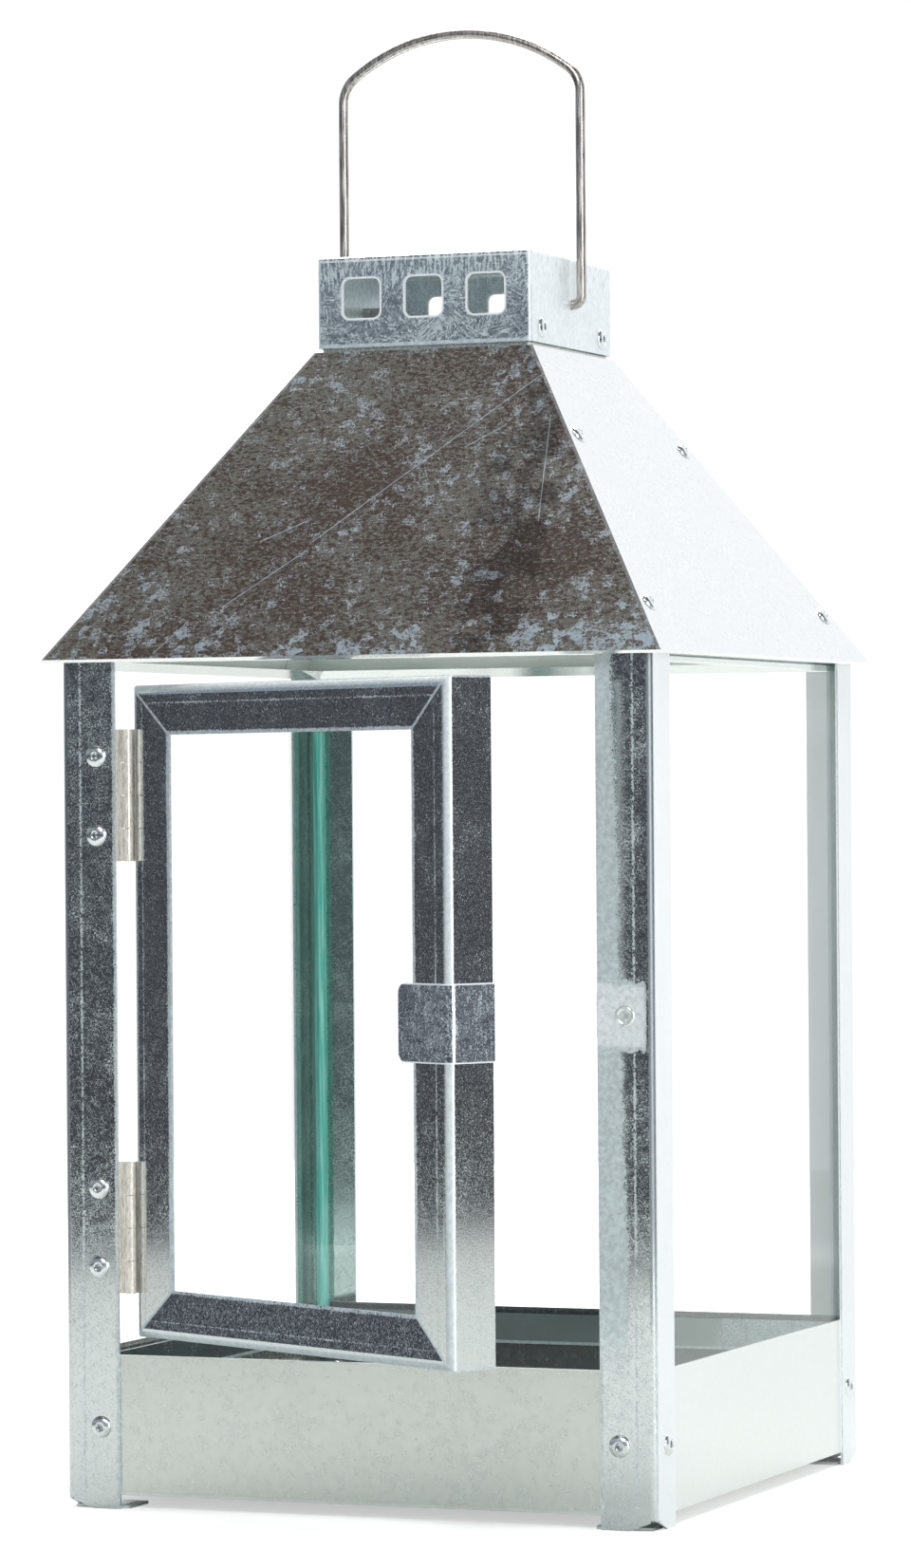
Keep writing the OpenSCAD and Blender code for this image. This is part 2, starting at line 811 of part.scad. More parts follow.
// Pane clip: a small angle against a frame's depth at x = 0, holding the glass from behind
module pane_clip() {
  translate([0, door_pane_y + pane_t, -clip_w / 2]) linear_extrude(clip_w)
    angle_section(clip_leg, clip_leg, clip_t, 2 * clip_t);
}

module door_pane_clips() {
  mid_x = (door_x0 + door_x1) / 2;
  mid_z = (door_z0 + door_z1) / 2;
  color("silver") swung() {
    translate([door_x0 + sheet, 0, mid_z]) pane_clip();
    translate([door_x1 - sheet, 0, mid_z]) mirror([1, 0, 0]) pane_clip();
    translate([mid_x, 0, door_z0 + sheet]) rotate([0, -90, 0]) pane_clip();
    translate([mid_x, 0, door_z1 - sheet]) rotate([0, 90, 0]) pane_clip();
  }
}

module latch_clip() {
  outer_r = door_bend_r + latch_t;
  color("slategray") swung() intersection() {
    translate([door_x1 + latch_t, door_y0 - latch_t, latch_z - latch_h / 2])
      mirror([1, 0, 0]) linear_extrude(latch_h)
        angle_section(latch_face, door_t + latch_t, latch_t, outer_r);
    translate([door_x1 + latch_t - latch_face / 2 + latch_r, door_y1 + cut, latch_z])
      rotate([90, 0, 0]) linear_extrude(door_t + 2 * cut + latch_t)
        rounded_rect(latch_face + 2 * latch_r, latch_h, latch_r);
  }
}

// ---------- catch ----------

module catch_spring() {
  plate = half_w - catch_rivet_x + catch_head_r - catch_x;
  color("silver") difference() {
    translate([catch_x, -inner_d, latch_z - catch_h / 2]) linear_extrude(catch_h)
      angle_section(plate, catch_reach, catch_t, 2 * catch_t);
    at_catch_rivet() rivet_hole(sheet + catch_t);
  }
}

// Flat-headed rivet that holds the catch spring, with a turned groove in its face
module catch_rivet() {
  grip = sheet + catch_t;
  color("lightgray") at_catch_rivet() difference() {
    union() {
      cylinder(r = catch_head_r, h = catch_head_h);
      translate([0, 0, -grip - catch_tail_h])
        cylinder(r = shank_r, h = grip + catch_tail_h + catch_head_h);
      translate([0, 0, -grip - catch_tail_h]) cylinder(r = tail_r, h = catch_tail_h);
    }
    translate([0, 0, catch_head_h / 2]) difference() {
      cylinder(r = catch_groove_r + catch_groove_w / 2, h = catch_head_h);
      translate([0, 0, -cut])
        cylinder(r = catch_groove_r - catch_groove_w / 2, h = catch_head_h + 2 * cut);
    }
  }
}

// ---------- rivets ----------

module tray_rivets() {
  color("whitesmoke") at_tray_rivets() blind_rivet(2 * sheet);
}

module roof_rivets_left() {
  color("whitesmoke") at_roof_rivets(270) blind_rivet(2 * sheet);
}

module roof_rivets_right() {
  color("whitesmoke") at_roof_rivets(90) blind_rivet(2 * sheet);
}

module cap_rivets() {
  color("whitesmoke") at_cap_rivets() blind_rivet(cap_rivet_grip);
}

module hinge_post_rivets() {
  color("whitesmoke") at_hinge_post_rivets() blind_rivet(sheet + leaf_t);
}

module hinge_door_rivets() {
  color("whitesmoke") swung() at_hinge_door_rivets() blind_rivet(leaf_t + sheet);
}

tray();
post_front_left();
post_front_right();
post_rear_left();
post_rear_right();
pane_channel_left();
pane_channel_right();
pane_channel_rear();
pane_left();
pane_right();
pane_rear();
eave_frame();
roof_front();
roof_rear();
roof_left();
roof_right();
collar();
cap();
tray_rivets();
roof_rivets_left();
roof_rivets_right();
cap_rivets();
hinge_upper_post_leaf();
hinge_lower_post_leaf();
hinge_upper_pin();
hinge_lower_pin();
hinge_post_rivets();
catch_spring();
catch_rivet();
door_stile_hinge();
door_stile_latch();
door_rail_top();
door_rail_bottom();
door_pane();
door_pane_clips();
hinge_upper_door_leaf();
hinge_lower_door_leaf();
hinge_door_rivets();
latch_clip();
bail();
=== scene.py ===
import math

import bmesh
import bpy
from mathutils import Matrix, Vector


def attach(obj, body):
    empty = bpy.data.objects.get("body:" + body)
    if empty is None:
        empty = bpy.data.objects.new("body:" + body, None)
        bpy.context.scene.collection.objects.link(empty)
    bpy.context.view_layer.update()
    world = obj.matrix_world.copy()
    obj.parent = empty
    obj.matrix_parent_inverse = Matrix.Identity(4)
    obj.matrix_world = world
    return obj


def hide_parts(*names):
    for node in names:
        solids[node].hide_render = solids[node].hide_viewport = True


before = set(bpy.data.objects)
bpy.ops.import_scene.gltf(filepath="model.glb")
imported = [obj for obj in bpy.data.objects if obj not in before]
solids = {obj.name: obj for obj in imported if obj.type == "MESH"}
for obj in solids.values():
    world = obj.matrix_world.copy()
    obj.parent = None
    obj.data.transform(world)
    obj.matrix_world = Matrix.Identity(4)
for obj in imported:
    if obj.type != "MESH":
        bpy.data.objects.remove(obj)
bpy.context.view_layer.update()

# ---- Tray ----
# A shallow pan folded from hot-dip galvanised steel sheet, its front edge hemmed inwards.
# The zinc has frozen into flat crystal flakes; handling and rolling leave streaks and scratches.
MM = 0.001


def step(tree, kind, inputs=None, **settings):
    """One node of a finish, with its settings, its values and its links."""
    made = tree.nodes.new(kind)
    for key, value in settings.items():
        setattr(made, key, value)
    for key, value in (inputs or {}).items():
        if isinstance(value, bpy.types.NodeSocket):
            tree.links.new(value, made.inputs[key])
        else:
            made.inputs[key].default_value = value
    return made


def finish_start(name):
    """A new material: its node tree, its shader, and the place on the piece in millimetres."""
    finish = bpy.data.materials.new(name)
    finish.use_nodes = True
    tree = finish.node_tree
    shader = tree.nodes["Principled BSDF"]
    place = step(tree, "ShaderNodeTexCoord").outputs["Object"]
    in_mm = step(tree, "ShaderNodeVectorMath", {0: place, "Scale": 1.0 / MM}, operation="SCALE")
    return finish, tree, shader, in_mm.outputs[0]


def coordinates(tree, vector):
    return step(tree, "ShaderNodeSeparateXYZ", {0: vector}).outputs[:3]


def sums(tree, operation, a, b):
    return step(tree, "ShaderNodeMath", {0: a, 1: b}, operation=operation).outputs[0]


def plus(tree, a, b):
    return sums(tree, "ADD", a, b)


def minus(tree, a, b):
    return sums(tree, "SUBTRACT", a, b)


def times(tree, a, b):
    return sums(tree, "MULTIPLY", a, b)


def most(tree, first, *others):
    """The highest of several values."""
    for other in others:
        first = sums(tree, "MAXIMUM", first, other)
    return first


def apart(tree, value, middle=0.0):
    """How far value lies from middle, to either side."""
    return sums(tree, "ABSOLUTE", minus(tree, value, middle), 0.0)


def ramp(tree, value, low, high, to_low=0.0, to_high=1.0):
    """Smooth change from to_low to to_high as value goes from low to high."""
    span = {"Value": value, "From Min": low, "From Max": high, "To Min": to_low, "To Max": to_high}
    return step(tree, "ShaderNodeMapRange", span, interpolation_type="SMOOTHSTEP").outputs[0]


def rises(tree, value, mark):
    """Nothing before a mark's start and its strength after its end."""
    start, end, strength = mark
    return ramp(tree, value, start, end, 0.0, strength)


def fades(tree, value, mark):
    """A mark's strength before its start and nothing after its end."""
    start, end, strength = mark
    return ramp(tree, value, start, end, strength, 0.0)


# Most of a noise lies between these; the narrow middle gives harder borders
MIDDLE, NARROW_MIDDLE = (0.3, 0.7), (0.35, 0.65)


def swing(tree, value, reach, middle=MIDDLE):
    """Up and down by reach as a noise goes through the middle of its range."""
    return ramp(tree, value, *middle, -reach, reach)


def stretched(tree, place, per_mm, turn=(0.0, 0.0, 0.0)):
    """The place on the piece turned, then scaled by so many units to the millimetre."""
    turned_place = step(tree, "ShaderNodeMapping", {"Vector": place, "Rotation": turn}).outputs[0]
    scaled = {0: turned_place, 1: per_mm}
    return step(tree, "ShaderNodeVectorMath", scaled, operation="MULTIPLY").outputs[0]


def noise(tree, place, scale=1.0, detail=2.0, roughness=0.5, output="Fac"):
    inputs = {"Vector": place, "Scale": scale, "Detail": detail, "Roughness": roughness}
    return step(tree, "ShaderNodeTexNoise", inputs).outputs[output]


def blend_colours(tree, share, a, b):
    mixed = step(tree, "ShaderNodeMix", {"Factor": share, "A": a, "B": b}, data_type="RGBA")
    return mixed.outputs["Result"]


def blend_numbers(tree, share, a, b):
    mixed = step(tree, "ShaderNodeMix", {"Factor": share, "A": a, "B": b}, data_type="FLOAT")
    return mixed.outputs[0]


def strokes(tree, place, wide, long, turn, low, high):
    """Thin marks of one direction, so wide and so long in millimetres; higher limits make fewer."""
    drawn = stretched(tree, place, (1.0 / wide, 1.0 / wide, 1.0 / long), (0.0, turn, 0.0))
    return ramp(tree, noise(tree, drawn, detail=0.0), low, high)


def crystals(tree, place, cell_mm, wander_per_mm, push_mm):
    """A number of its own for each crystal, whose borders wander by about push_mm."""
    wander = noise(tree, place, scale=wander_per_mm, output="Color")
    push = step(tree, "ShaderNodeVectorMath", {0: wander, "Scale": push_mm}, operation="SCALE")
    pushed = {0: place, 1: push.outputs[0]}
    warped = step(tree, "ShaderNodeVectorMath", pushed, operation="ADD").outputs[0]
    cells = step(tree, "ShaderNodeTexVoronoi", {"Vector": warped, "Scale": 1.0 / cell_mm})
    return step(tree, "ShaderNodeSeparateColor", {"Color": cells.outputs["Color"]}).outputs[0]


NEEDLE_WANDER, NEEDLE_PUSH = 0.6, 1.5


def feathers(tree, place, cell_mm, wide, long):
    """Fine needles that lie another way in each crystal."""
    own = crystals(tree, place, cell_mm, NEEDLE_WANDER / cell_mm, NEEDLE_PUSH * cell_mm)
    turn = {"Vector": place, "Angle": times(tree, own, 2.0 * math.pi)}
    laid = step(tree, "ShaderNodeVectorRotate", turn, rotation_type="Y_AXIS").outputs[0]
    return noise(tree, stretched(tree, laid, (1.0 / wide, 1.0 / wide, 1.0 / long)))


# Clouds in the frost: waves to the millimetre, detail, and how far they move its level
CLOUDS = ((0.06, 3.0, 0.06), (0.3, 2.0, 0.04))
FLAKE_WANDER, FLAKE_PUSH = 0.5, 1.1
# Short hatching and long scratches: width, length, turn and the two limits of each direction
HATCHING = ((0.22, 2.2, 0.5, 0.62, 0.72), (0.22, 2.6, -0.6, 0.63, 0.73),
            (0.25, 1.8, 1.5, 0.64, 0.74))
SCRATCHES = ((0.3, 26.0, 0.75, 0.75, 0.81), (0.35, 18.0, -1.05, 0.76, 0.82))
MOST_FROST, FROST_RELIEF, RELIEF_MM = 0.85, 0.5, 0.1
PATCH_LIMITS, LARGE_PATCHES = (0.42, 0.58), 0.07
# The strongest marks turn near white and hardly metal: worn spots, scratches, painted highlights
# and painted light
BRIGHT_MARKS, WEAR_AND_HIGHLIGHT_WHITE, WEAR_AND_HIGHLIGHT_METAL = (0.7, 1.0), (0.93, 0.95, 0.96, 1), 0.1
SHADE = (0.02, 0.025, 0.04, 1)
# Painted light on faces that look down: streaks of two pale colours, little metal, some roughness
INSIDE_STREAKS, INSIDE_METAL, INSIDE_DULL = (0.03, 0.03, 0.5), 0.1, 0.4
# Faces that look down, by their normal. This and every mark below is start, end and strength.
UNDERSIDE = (-0.3, -0.1, 1.0)


def zinc_sheet(name, mirror, frost, cover=(0.53, 0.66), grain_mm=0.55, flake_mm=3.0, flakes=0.0,
               dull=(0.07, 0.42), veil=0.02, frost_metal=0.62, hatch=0.5, scratch=0.6, bump=0.03,
               shades=(0.80, 1.12), needles=None, second=None, mottle=(0.6, 0.6, 1.2),
               marks=None, bent=(0.5, 0.75, 0.56), painted_bend_colour=None, darker=None, within=None,
               inside=None, tilt=0.0):
    """Galvanised sheet: a smooth mirror of zinc with a frost of fine grains, hatching and flakes.

    The frost sets in between the two levels of cover and varies between shades of its colour.
    dull holds the roughness of mirror and frost, veil how far the mirror is from bare metal.
    flakes says how much the crystals differ, needles what lies in them (crystal, width, length,
    strength), and second a colour that takes turns with the mirror's in patches of mottle.
    marks gives marks of wear with painted highlights and painted light, and the bends, which take
    painted_bend_colour as a painted dark reflection, else frost as a painted sheen, by the share,
    metal and roughness in bent. darker gives the painted shade. within is a second finish painted
    on part of the piece, painted light and painted reflections (where, mirror, frost, metal),
    inside two pale colours, painted light on faces that look down, and tilt leans the mirrored
    picture, as a sheet does that isn't quite flat.
    """
    finish, tree, shader, place = finish_start(name)
    clouds = [swing(tree, noise(tree, place, scale=per_mm, detail=detail), reach)
              for per_mm, detail, reach in CLOUDS]
    grain = noise(tree, place, scale=1.0 / grain_mm, detail=4.0, roughness=0.65)
    level = plus(tree, grain, plus(tree, *clouds))
    if flakes:
        own = crystals(tree, place, flake_mm, FLAKE_WANDER, FLAKE_PUSH * flake_mm)
        level = plus(tree, level, times(tree, minus(tree, own, 0.5), flakes))
    if needles is not None:
        *sizes_mm, reach = needles
        level = plus(tree, level, swing(tree, feathers(tree, place, *sizes_mm), reach))
    bend = None
    if marks is not None:
        wear_and_light, bend = marks(tree, place)
        level = plus(tree, level, wear_and_light)
    tone = ramp(tree, level, *cover)
    hatching = most(tree, *[strokes(tree, place, *mark) for mark in HATCHING])
    lines = most(tree, *[strokes(tree, place, *mark) for mark in SCRATCHES])
    lines = times(tree, lines, scratch)
    tone = most(tree, times(tree, tone, MOST_FROST), times(tree, hatching, hatch), lines)

    if second is not None:
        patches = noise(tree, stretched(tree, place, mottle))
        large = swing(tree, noise(tree, place, scale=0.03), LARGE_PATCHES, NARROW_MIDDLE)
        patches = ramp(tree, plus(tree, patches, large), *PATCH_LIMITS)
        mirror = blend_colours(tree, patches, mirror, second)
    darkest, palest = [tuple(min(1.0, shade * part) for part in frost) for shade in shades]
    varied = ramp(tree, noise(tree, place, scale=0.7, detail=4.0, roughness=0.6), *MIDDLE)
    pale = blend_colours(tree, varied, darkest, palest)
    # A second finish painted on part of the piece: painted light and painted reflections there
    if within is not None:
        where, other_mirror, other_frost, other_metal = within
        painted_part = where(tree, place)
        mirror = blend_colours(tree, painted_part, mirror, other_mirror)
        pale = blend_colours(tree, painted_part, pale, other_frost)
    if darker is not None:
        shadow = darker(tree, place)
        mirror = blend_colours(tree, shadow, mirror, SHADE)
        pale = blend_colours(tree, shadow, pale, SHADE)
    colour = blend_colours(tree, tone, mirror, pale)
    metal = ramp(tree, tone, 0.0, 1.0, 1.0 - veil, frost_metal)
    rough = ramp(tree, tone, 0.0, 1.0, *dull)

    if within is not None:
        metal = blend_numbers(tree, painted_part, metal, other_metal)
    # Bends take a painted colour: a given dark one as a painted dark reflection, else the frost's
    # pale one as a painted sheen
    if bend is not None:
        share, bend_metal, bend_dull = bent
        colour = blend_colours(tree, times(tree, bend, share), colour, painted_bend_colour or pale)
        metal = blend_numbers(tree, bend, metal, bend_metal)
        rough = blend_numbers(tree, bend, rough, bend_dull)
    # Painted highlights, painted light and the strongest wear and scratches turn near white here
    if marks is not None:
        bright = ramp(tree, wear_and_light, *BRIGHT_MARKS)
        colour = blend_colours(tree, bright, colour, WEAR_AND_HIGHLIGHT_WHITE)
        metal = blend_numbers(tree, bright, metal, WEAR_AND_HIGHLIGHT_METAL)
    # Faces that look down get pale, hardly metal colours: painted light on the undersides
    if inside is not None:
        facing = step(tree, "ShaderNodeTexCoord").outputs["Normal"]
        under = fades(tree, coordinates(tree, facing)[2], UNDERSIDE)
        streaks = noise(tree, stretched(tree, place, INSIDE_STREAKS), detail=3.0)
        painted_light_underside = blend_colours(tree, ramp(tree, streaks, *NARROW_MIDDLE), *inside)
        colour = blend_colours(tree, under, colour, painted_light_underside)
        metal = blend_numbers(tree, under, metal, INSIDE_METAL)
        rough = blend_numbers(tree, under, rough, INSIDE_DULL)
    tree.links.new(colour, shader.inputs["Base Color"])
    tree.links.new(metal, shader.inputs["Metallic"])
    tree.links.new(rough, shader.inputs["Roughness"])

    height = minus(tree, plus(tree, grain, times(tree, tone, FROST_RELIEF)), lines)
    relief = {"Height": height, "Strength": bump, "Distance": RELIEF_MM * MM}
    if tilt:
        lean = {"Height": times(tree, coordinates(tree, place)[2], tilt * MM),
                "Strength": 1.0, "Distance": 1.0}
        relief["Normal"] = step(tree, "ShaderNodeBump", lean).outputs[0]
    tree.links.new(step(tree, "ShaderNodeBump", relief).outputs[0], shader.inputs["Normal"])
    return finish


def wear(finish, *names):
    """Gives the finish to whole solids."""
    for name in names:
        solids[name].data.materials.clear()
        solids[name].data.materials.append(finish)
        for face in solids[name].data.polygons:
            face.material_index = 0


# Painted highlights along the bottom fold and the upper edge, and painted light on the side faces
TRAY_FOLD_HIGHLIGHT, TRAY_RIM_HIGHLIGHT, TRAY_LIT_SIDE = (4.4, 5.2, 0.8), (41.2, 41.8, 0.3), (84.6, 85.1, 0.86)
REAR_WALL_INNER, REAR_WALL_OUTER = (83.9, 84.1, 1.0), (84.6, 84.8, 0.8)


def tray_painted_light(tree, place):
    """Painted highlights, a bright line along the bottom fold and a light one along the upper
    edge, and painted light on the paler sides.
    """
    x, _, z = coordinates(tree, place)
    return most(tree, fades(tree, z, TRAY_FOLD_HIGHLIGHT), rises(tree, z, TRAY_RIM_HIGHLIGHT),
                rises(tree, apart(tree, x), TRAY_LIT_SIDE)), None


def tray_shade(tree, place):
    """The inner side of the rear wall stands in shade."""
    y = coordinates(tree, place)[1]
    return times(tree, rises(tree, y, REAR_WALL_INNER), fades(tree, y, REAR_WALL_OUTER))


tray_zinc = zinc_sheet("tray_zinc", mirror=(0.74, 0.77, 0.73, 1), frost=(0.80, 0.82, 0.78, 1),
                       cover=(0.2, 0.8), grain_mm=2.4, dull=(0.22, 0.3), veil=0.04,
                       frost_metal=0.92, hatch=0.03, scratch=0.06, bump=0.008,
                       shades=(0.95, 1.04), marks=tray_painted_light, darker=tray_shade)
wear(tray_zinc, "tray")

# ---- Corner posts ----
# Four angles of the same sheet with a pressed line down each face. Their feet are bevelled at
# the corner and a small plate is folded in below, on which the lantern stands.
POST_CORNER = 86.0
# Painted highlights along the pressed lines, in dashes, and along the inner edges
POST_LINE, LINE_HALF = 5.6, (0.0, 0.6, 1.0)
DASH_LIMITS, DASH_HIGHLIGHT = (0.35, 0.6), (0.05, 0.26)
FRONT_FACE, SIDE_FACE = 16.0, 14.0
EDGE_FROM, EDGE_TO, INNER_EDGE_HIGHLIGHT = 1.2, 0.4, 0.25
# Painted dark reflection on the bends, setting in a little above the foot
POST_BEND_REFLECTION, BEND_REFLECTION_FOOT = (1.4, 1.9, 1.0), (45.0, 85.0, 1.0)
CATCH_Z = 135.65
# Where the front face ends, and past where the outer side faces take near-white painted light
FRONT_SKIN, LIT_SIDE_SKIN = (-85.5, -84.5, 1.0), (85.5, 85.9, 0.94)
INNER_SKIN = (POST_CORNER - 0.5, POST_CORNER - 0.3, 1.0)
# The frosted border on the right-hand front post: its end, its lean, its foot, its ragged edge
RIGHT_POST = (60.0, 61.0, 1.0)
BORDER_END, BORDER_LEAN, BORDER_FOOT = (78.6, 81.6, 0.34), 0.022, (36.0, 66.0, 1.0)
BORDER_WAVES, BORDER_TEETH = 5.0, 2.4
# What fingers have rubbed round the catch: its strength, how uneven it is, and its reach
RUBBED, RUBBED_UNEVEN, RUBBED_REACH = 0.85, 0.05, (11.5, 13.5, 1.0)
BEFORE_BEND = (83.0, 84.0, 1.0)


def post_marks_and_highlights(tree, place):
    """Painted highlights on pressed lines and inner edges, most frost by the catch where fingers
    rub, painted light on the outer sides; the bends, for a painted dark reflection.
    """
    x, y, z = coordinates(tree, place)
    found, insets = [], []
    dashes = ramp(tree, noise(tree, place, scale=1.2, detail=1.0), *DASH_LIMITS, *DASH_HIGHLIGHT)
    for axis, width in ((x, FRONT_FACE), (y, SIDE_FACE)):
        inset = minus(tree, POST_CORNER, apart(tree, axis))
        line = fades(tree, apart(tree, inset, POST_LINE), LINE_HALF)
        inner_edge = (width - EDGE_FROM, width - EDGE_TO, INNER_EDGE_HIGHLIGHT)
        found += [times(tree, line, dashes), rises(tree, inset, inner_edge)]
        insets.append(inset)
    bend = times(tree, fades(tree, most(tree, *insets), POST_BEND_REFLECTION), rises(tree, z, BEND_REFLECTION_FOOT))

    waves = noise(tree, place, scale=0.12, detail=3.0)
    teeth = noise(tree, place, scale=1.1, detail=3.0)
    ragged = plus(tree, times(tree, waves, BORDER_WAVES), times(tree, teeth, BORDER_TEETH))
    leaning = plus(tree, x, times(tree, minus(tree, z, CATCH_Z), BORDER_LEAN))
    border = fades(tree, plus(tree, leaning, ragged), BORDER_END)
    border = times(tree, border, rises(tree, z, BORDER_FOOT))
    from_catch = plus(tree, apart(tree, z, CATCH_Z), ragged)
    rubbed = times(tree, fades(tree, from_catch, RUBBED_REACH),
                   plus(tree, RUBBED, swing(tree, teeth, RUBBED_UNEVEN)))
    rubbed = times(tree, rubbed, fades(tree, x, BEFORE_BEND))
    on_front = times(tree, fades(tree, y, FRONT_SKIN), rises(tree, x, RIGHT_POST))
    found.append(times(tree, most(tree, border, rubbed), on_front))
    found.append(rises(tree, apart(tree, x), LIT_SIDE_SKIN))
    return most(tree, *found), bend


def post_inside(tree, place):
    """The inner faces of a post, which look into the lantern."""
    x, y, _ = coordinates(tree, place)
    return fades(tree, most(tree, apart(tree, x), apart(tree, y)), INNER_SKIN)


# The posts' bends take a near-black painted dark reflection
POST_LOOK = {"mirror": (0.68, 0.71, 0.71, 1), "frost": (0.72, 0.79, 0.81, 1), "marks": post_marks_and_highlights,
             "bent": (0.6, 1.0, 0.42), "painted_bend_colour": (0.05, 0.07, 0.10, 1)}
# Inner faces of the rear posts: a painted green reflection on the left one, painted light on the
# right one
PAINTED_GREEN_REFLECTION = (post_inside, (0.62, 0.80, 0.77, 1), (0.66, 0.84, 0.80, 1), 0.86)
PAINTED_LIGHT_INSIDE = (post_inside, (0.93, 0.94, 0.96, 1), (0.95, 0.96, 0.98, 1), 0.07)
post_zinc = zinc_sheet("post_zinc", **POST_LOOK, cover=(0.485, 0.705), grain_mm=0.5, scratch=0.4,
                       shades=(0.82, 1.15))
# Shaded and lit copies of the post finish for the two rear posts
shaded_zinc = zinc_sheet("shaded_zinc", **POST_LOOK, cover=(0.5, 0.7), within=PAINTED_GREEN_REFLECTION)
lit_zinc = zinc_sheet("lit_zinc", **POST_LOOK, cover=(0.5, 0.75), hatch=0.3, scratch=0.3,
                      within=PAINTED_LIGHT_INSIDE)
wear(post_zinc, "post_front_left", "post_front_right")
wear(shaded_zinc, "post_rear_left")
wear(lit_zinc, "post_rear_right")

# ---- Tray rivets ----
# Aluminium blind rivets, two to a corner, that hold the tray between the posts. Each has a
# domed head with a hollow where the pulled pin broke off, a shank and a swollen inner end.
SHEET = 0.8
RIVET_SIDES = 40
SMOOTH_BELOW = math.radians(40)
# Radius and height of the head from the hollow's middle outwards, then radius and depth beyond
# the sheets that the rivet holds
RIVET_HEAD = ((0.0, -0.8), (0.32, -0.8), (0.4, -0.9), (0.44, -1.3), (0.86, -1.3), (0.9, 0.60),
              (0.95, 0.92), (1.15, 1.04), (1.6, 1.0), (2.2, 0.82), (2.65, 0.55), (2.92, 0.28),
              (3.0, 0.1), (2.96, 0.0), (1.5, 0.0))
SWOLLEN_END = ((1.5, 0.0), (2.0, 0.25), (2.2, 0.8), (2.05, 1.4), (1.4, 1.75), (0.0, 1.8))


def rivet_profile(grip):
    """A rivet that holds sheets of the thickness grip together."""
    return [*RIVET_HEAD, *((radius, -grip - depth) for radius, depth in SWOLLEN_END)]


def turned(shape, profile, centre, outwards):
    """Turns a profile of radius and height, in millimetres, about an axis through centre."""
    aim = Vector(outwards).normalized().to_track_quat("Z", "Y").to_matrix()
    rings = []
    for radius, height in profile:
        ring = []
        for i in range(RIVET_SIDES if radius else 1):
            angle = 2 * math.pi * i / RIVET_SIDES
            point = Vector((radius * math.cos(angle), radius * math.sin(angle), height))
            ring.append(shape.verts.new((Vector(centre) + aim @ point) * MM))
        rings.append(ring)
    for upper, lower in zip(rings, rings[1:]):
        for i in range(RIVET_SIDES):
            j = (i + 1) % RIVET_SIDES
            corners = [upper[i % len(upper)], lower[i % len(lower)], lower[j % len(lower)],
                       upper[j % len(upper)]]
            face = list(dict.fromkeys(corners))
            if len(face) > 2:
                shape.faces.new(face)


def finished_piece(name, shape, finish, body, replaced):
    """Makes the mesh into a named piece that rides on its body and stands for its solid."""
    mesh = bpy.data.meshes.new(name)
    bmesh.ops.recalc_face_normals(shape, faces=shape.faces)
    shape.to_mesh(mesh)
    shape.free()
    piece = bpy.data.objects.new(name, mesh)
    bpy.context.scene.collection.objects.link(piece)
    mesh.materials.append(finish)
    for face in mesh.polygons:
        face.use_smooth = True
    mesh.set_sharp_from_angle(angle=SMOOTH_BELOW)
    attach(piece, body)
    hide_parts(replaced)


def bright_rivet(dark, light, dull):
    """Drawn aluminium, a little dented by the setting tool."""
    finish, tree, shader, place = finish_start("bright_rivet")
    grain = noise(tree, place, scale=2.5, detail=3.0)
    tree.links.new(blend_colours(tree, grain, dark, light), shader.inputs["Base Color"])
    tree.links.new(ramp(tree, grain, *MIDDLE, *dull), shader.inputs["Roughness"])
    dents = {"Height": noise(tree, place, scale=1.2), "Strength": 0.25, "Distance": 0.1 * MM}
    tree.links.new(step(tree, "ShaderNodeBump", dents).outputs[0], shader.inputs["Normal"])
    shader.inputs["Metallic"].default_value = 1.0
    return finish


rivet_aluminium = bright_rivet((0.72, 0.74, 0.75, 1), (0.93, 0.94, 0.94, 1), dull=(0.16, 0.3))
TRAY_RIVET_Z = 22.3
FRONT_INSET, SIDE_INSET = 10.5, 8.5

tray_set = bmesh.new()
for side in (-1, 1):
    spots = [((side * (POST_CORNER - FRONT_INSET), -POST_CORNER, TRAY_RIVET_Z), (0, -1, 0)),
             ((side * (POST_CORNER - SIDE_INSET), POST_CORNER, TRAY_RIVET_Z), (0, 1, 0))]
    for end in (-1, 1):
        on_side = (side * POST_CORNER, end * (POST_CORNER - SIDE_INSET), TRAY_RIVET_Z)
        spots.append((on_side, (side, 0, 0)))
    for spot, outwards in spots:
        turned(tray_set, rivet_profile(2 * SHEET), spot, outwards)
finished_piece("tray_rivet_set", tray_set, rivet_aluminium, "lantern",
               "tray_rivets")

# ---- Glass of the three fixed sides ----
# Plain float glass two millimetres thick, dropped into folded channels inside the tray walls.
# Its broad faces are clear, and its cut edges show the deep green of the glass.
GLASS_IOR, GLASS_GLOSS, GLASS_TINT = 1.5, 1.5, (0.90, 0.96, 0.94, 1)
BROAD_FACE = (0.45, 0.55, 1.0)
MOST_SMEARED, SMEARED_DULL = 0.006, (0.02, 0.12)
SMEARS = (0.45, 0.75, MOST_SMEARED)
# The edges' deep green with lighter streaks of painted highlight, and a strip of painted reflection
# near one edge
EDGE_DEEP, EDGE_HIGHLIGHT_TEAL, EDGE_COVER = (0.12, 0.74, 0.61, 1), (0.50, 1.0, 0.92, 1), 0.9
EDGE_REFLECTION_STRIP, EDGE_STREAKS = (2.6, 2.9, 1.0), (1, 1, 0.03)
PANE_REACH = 83.0


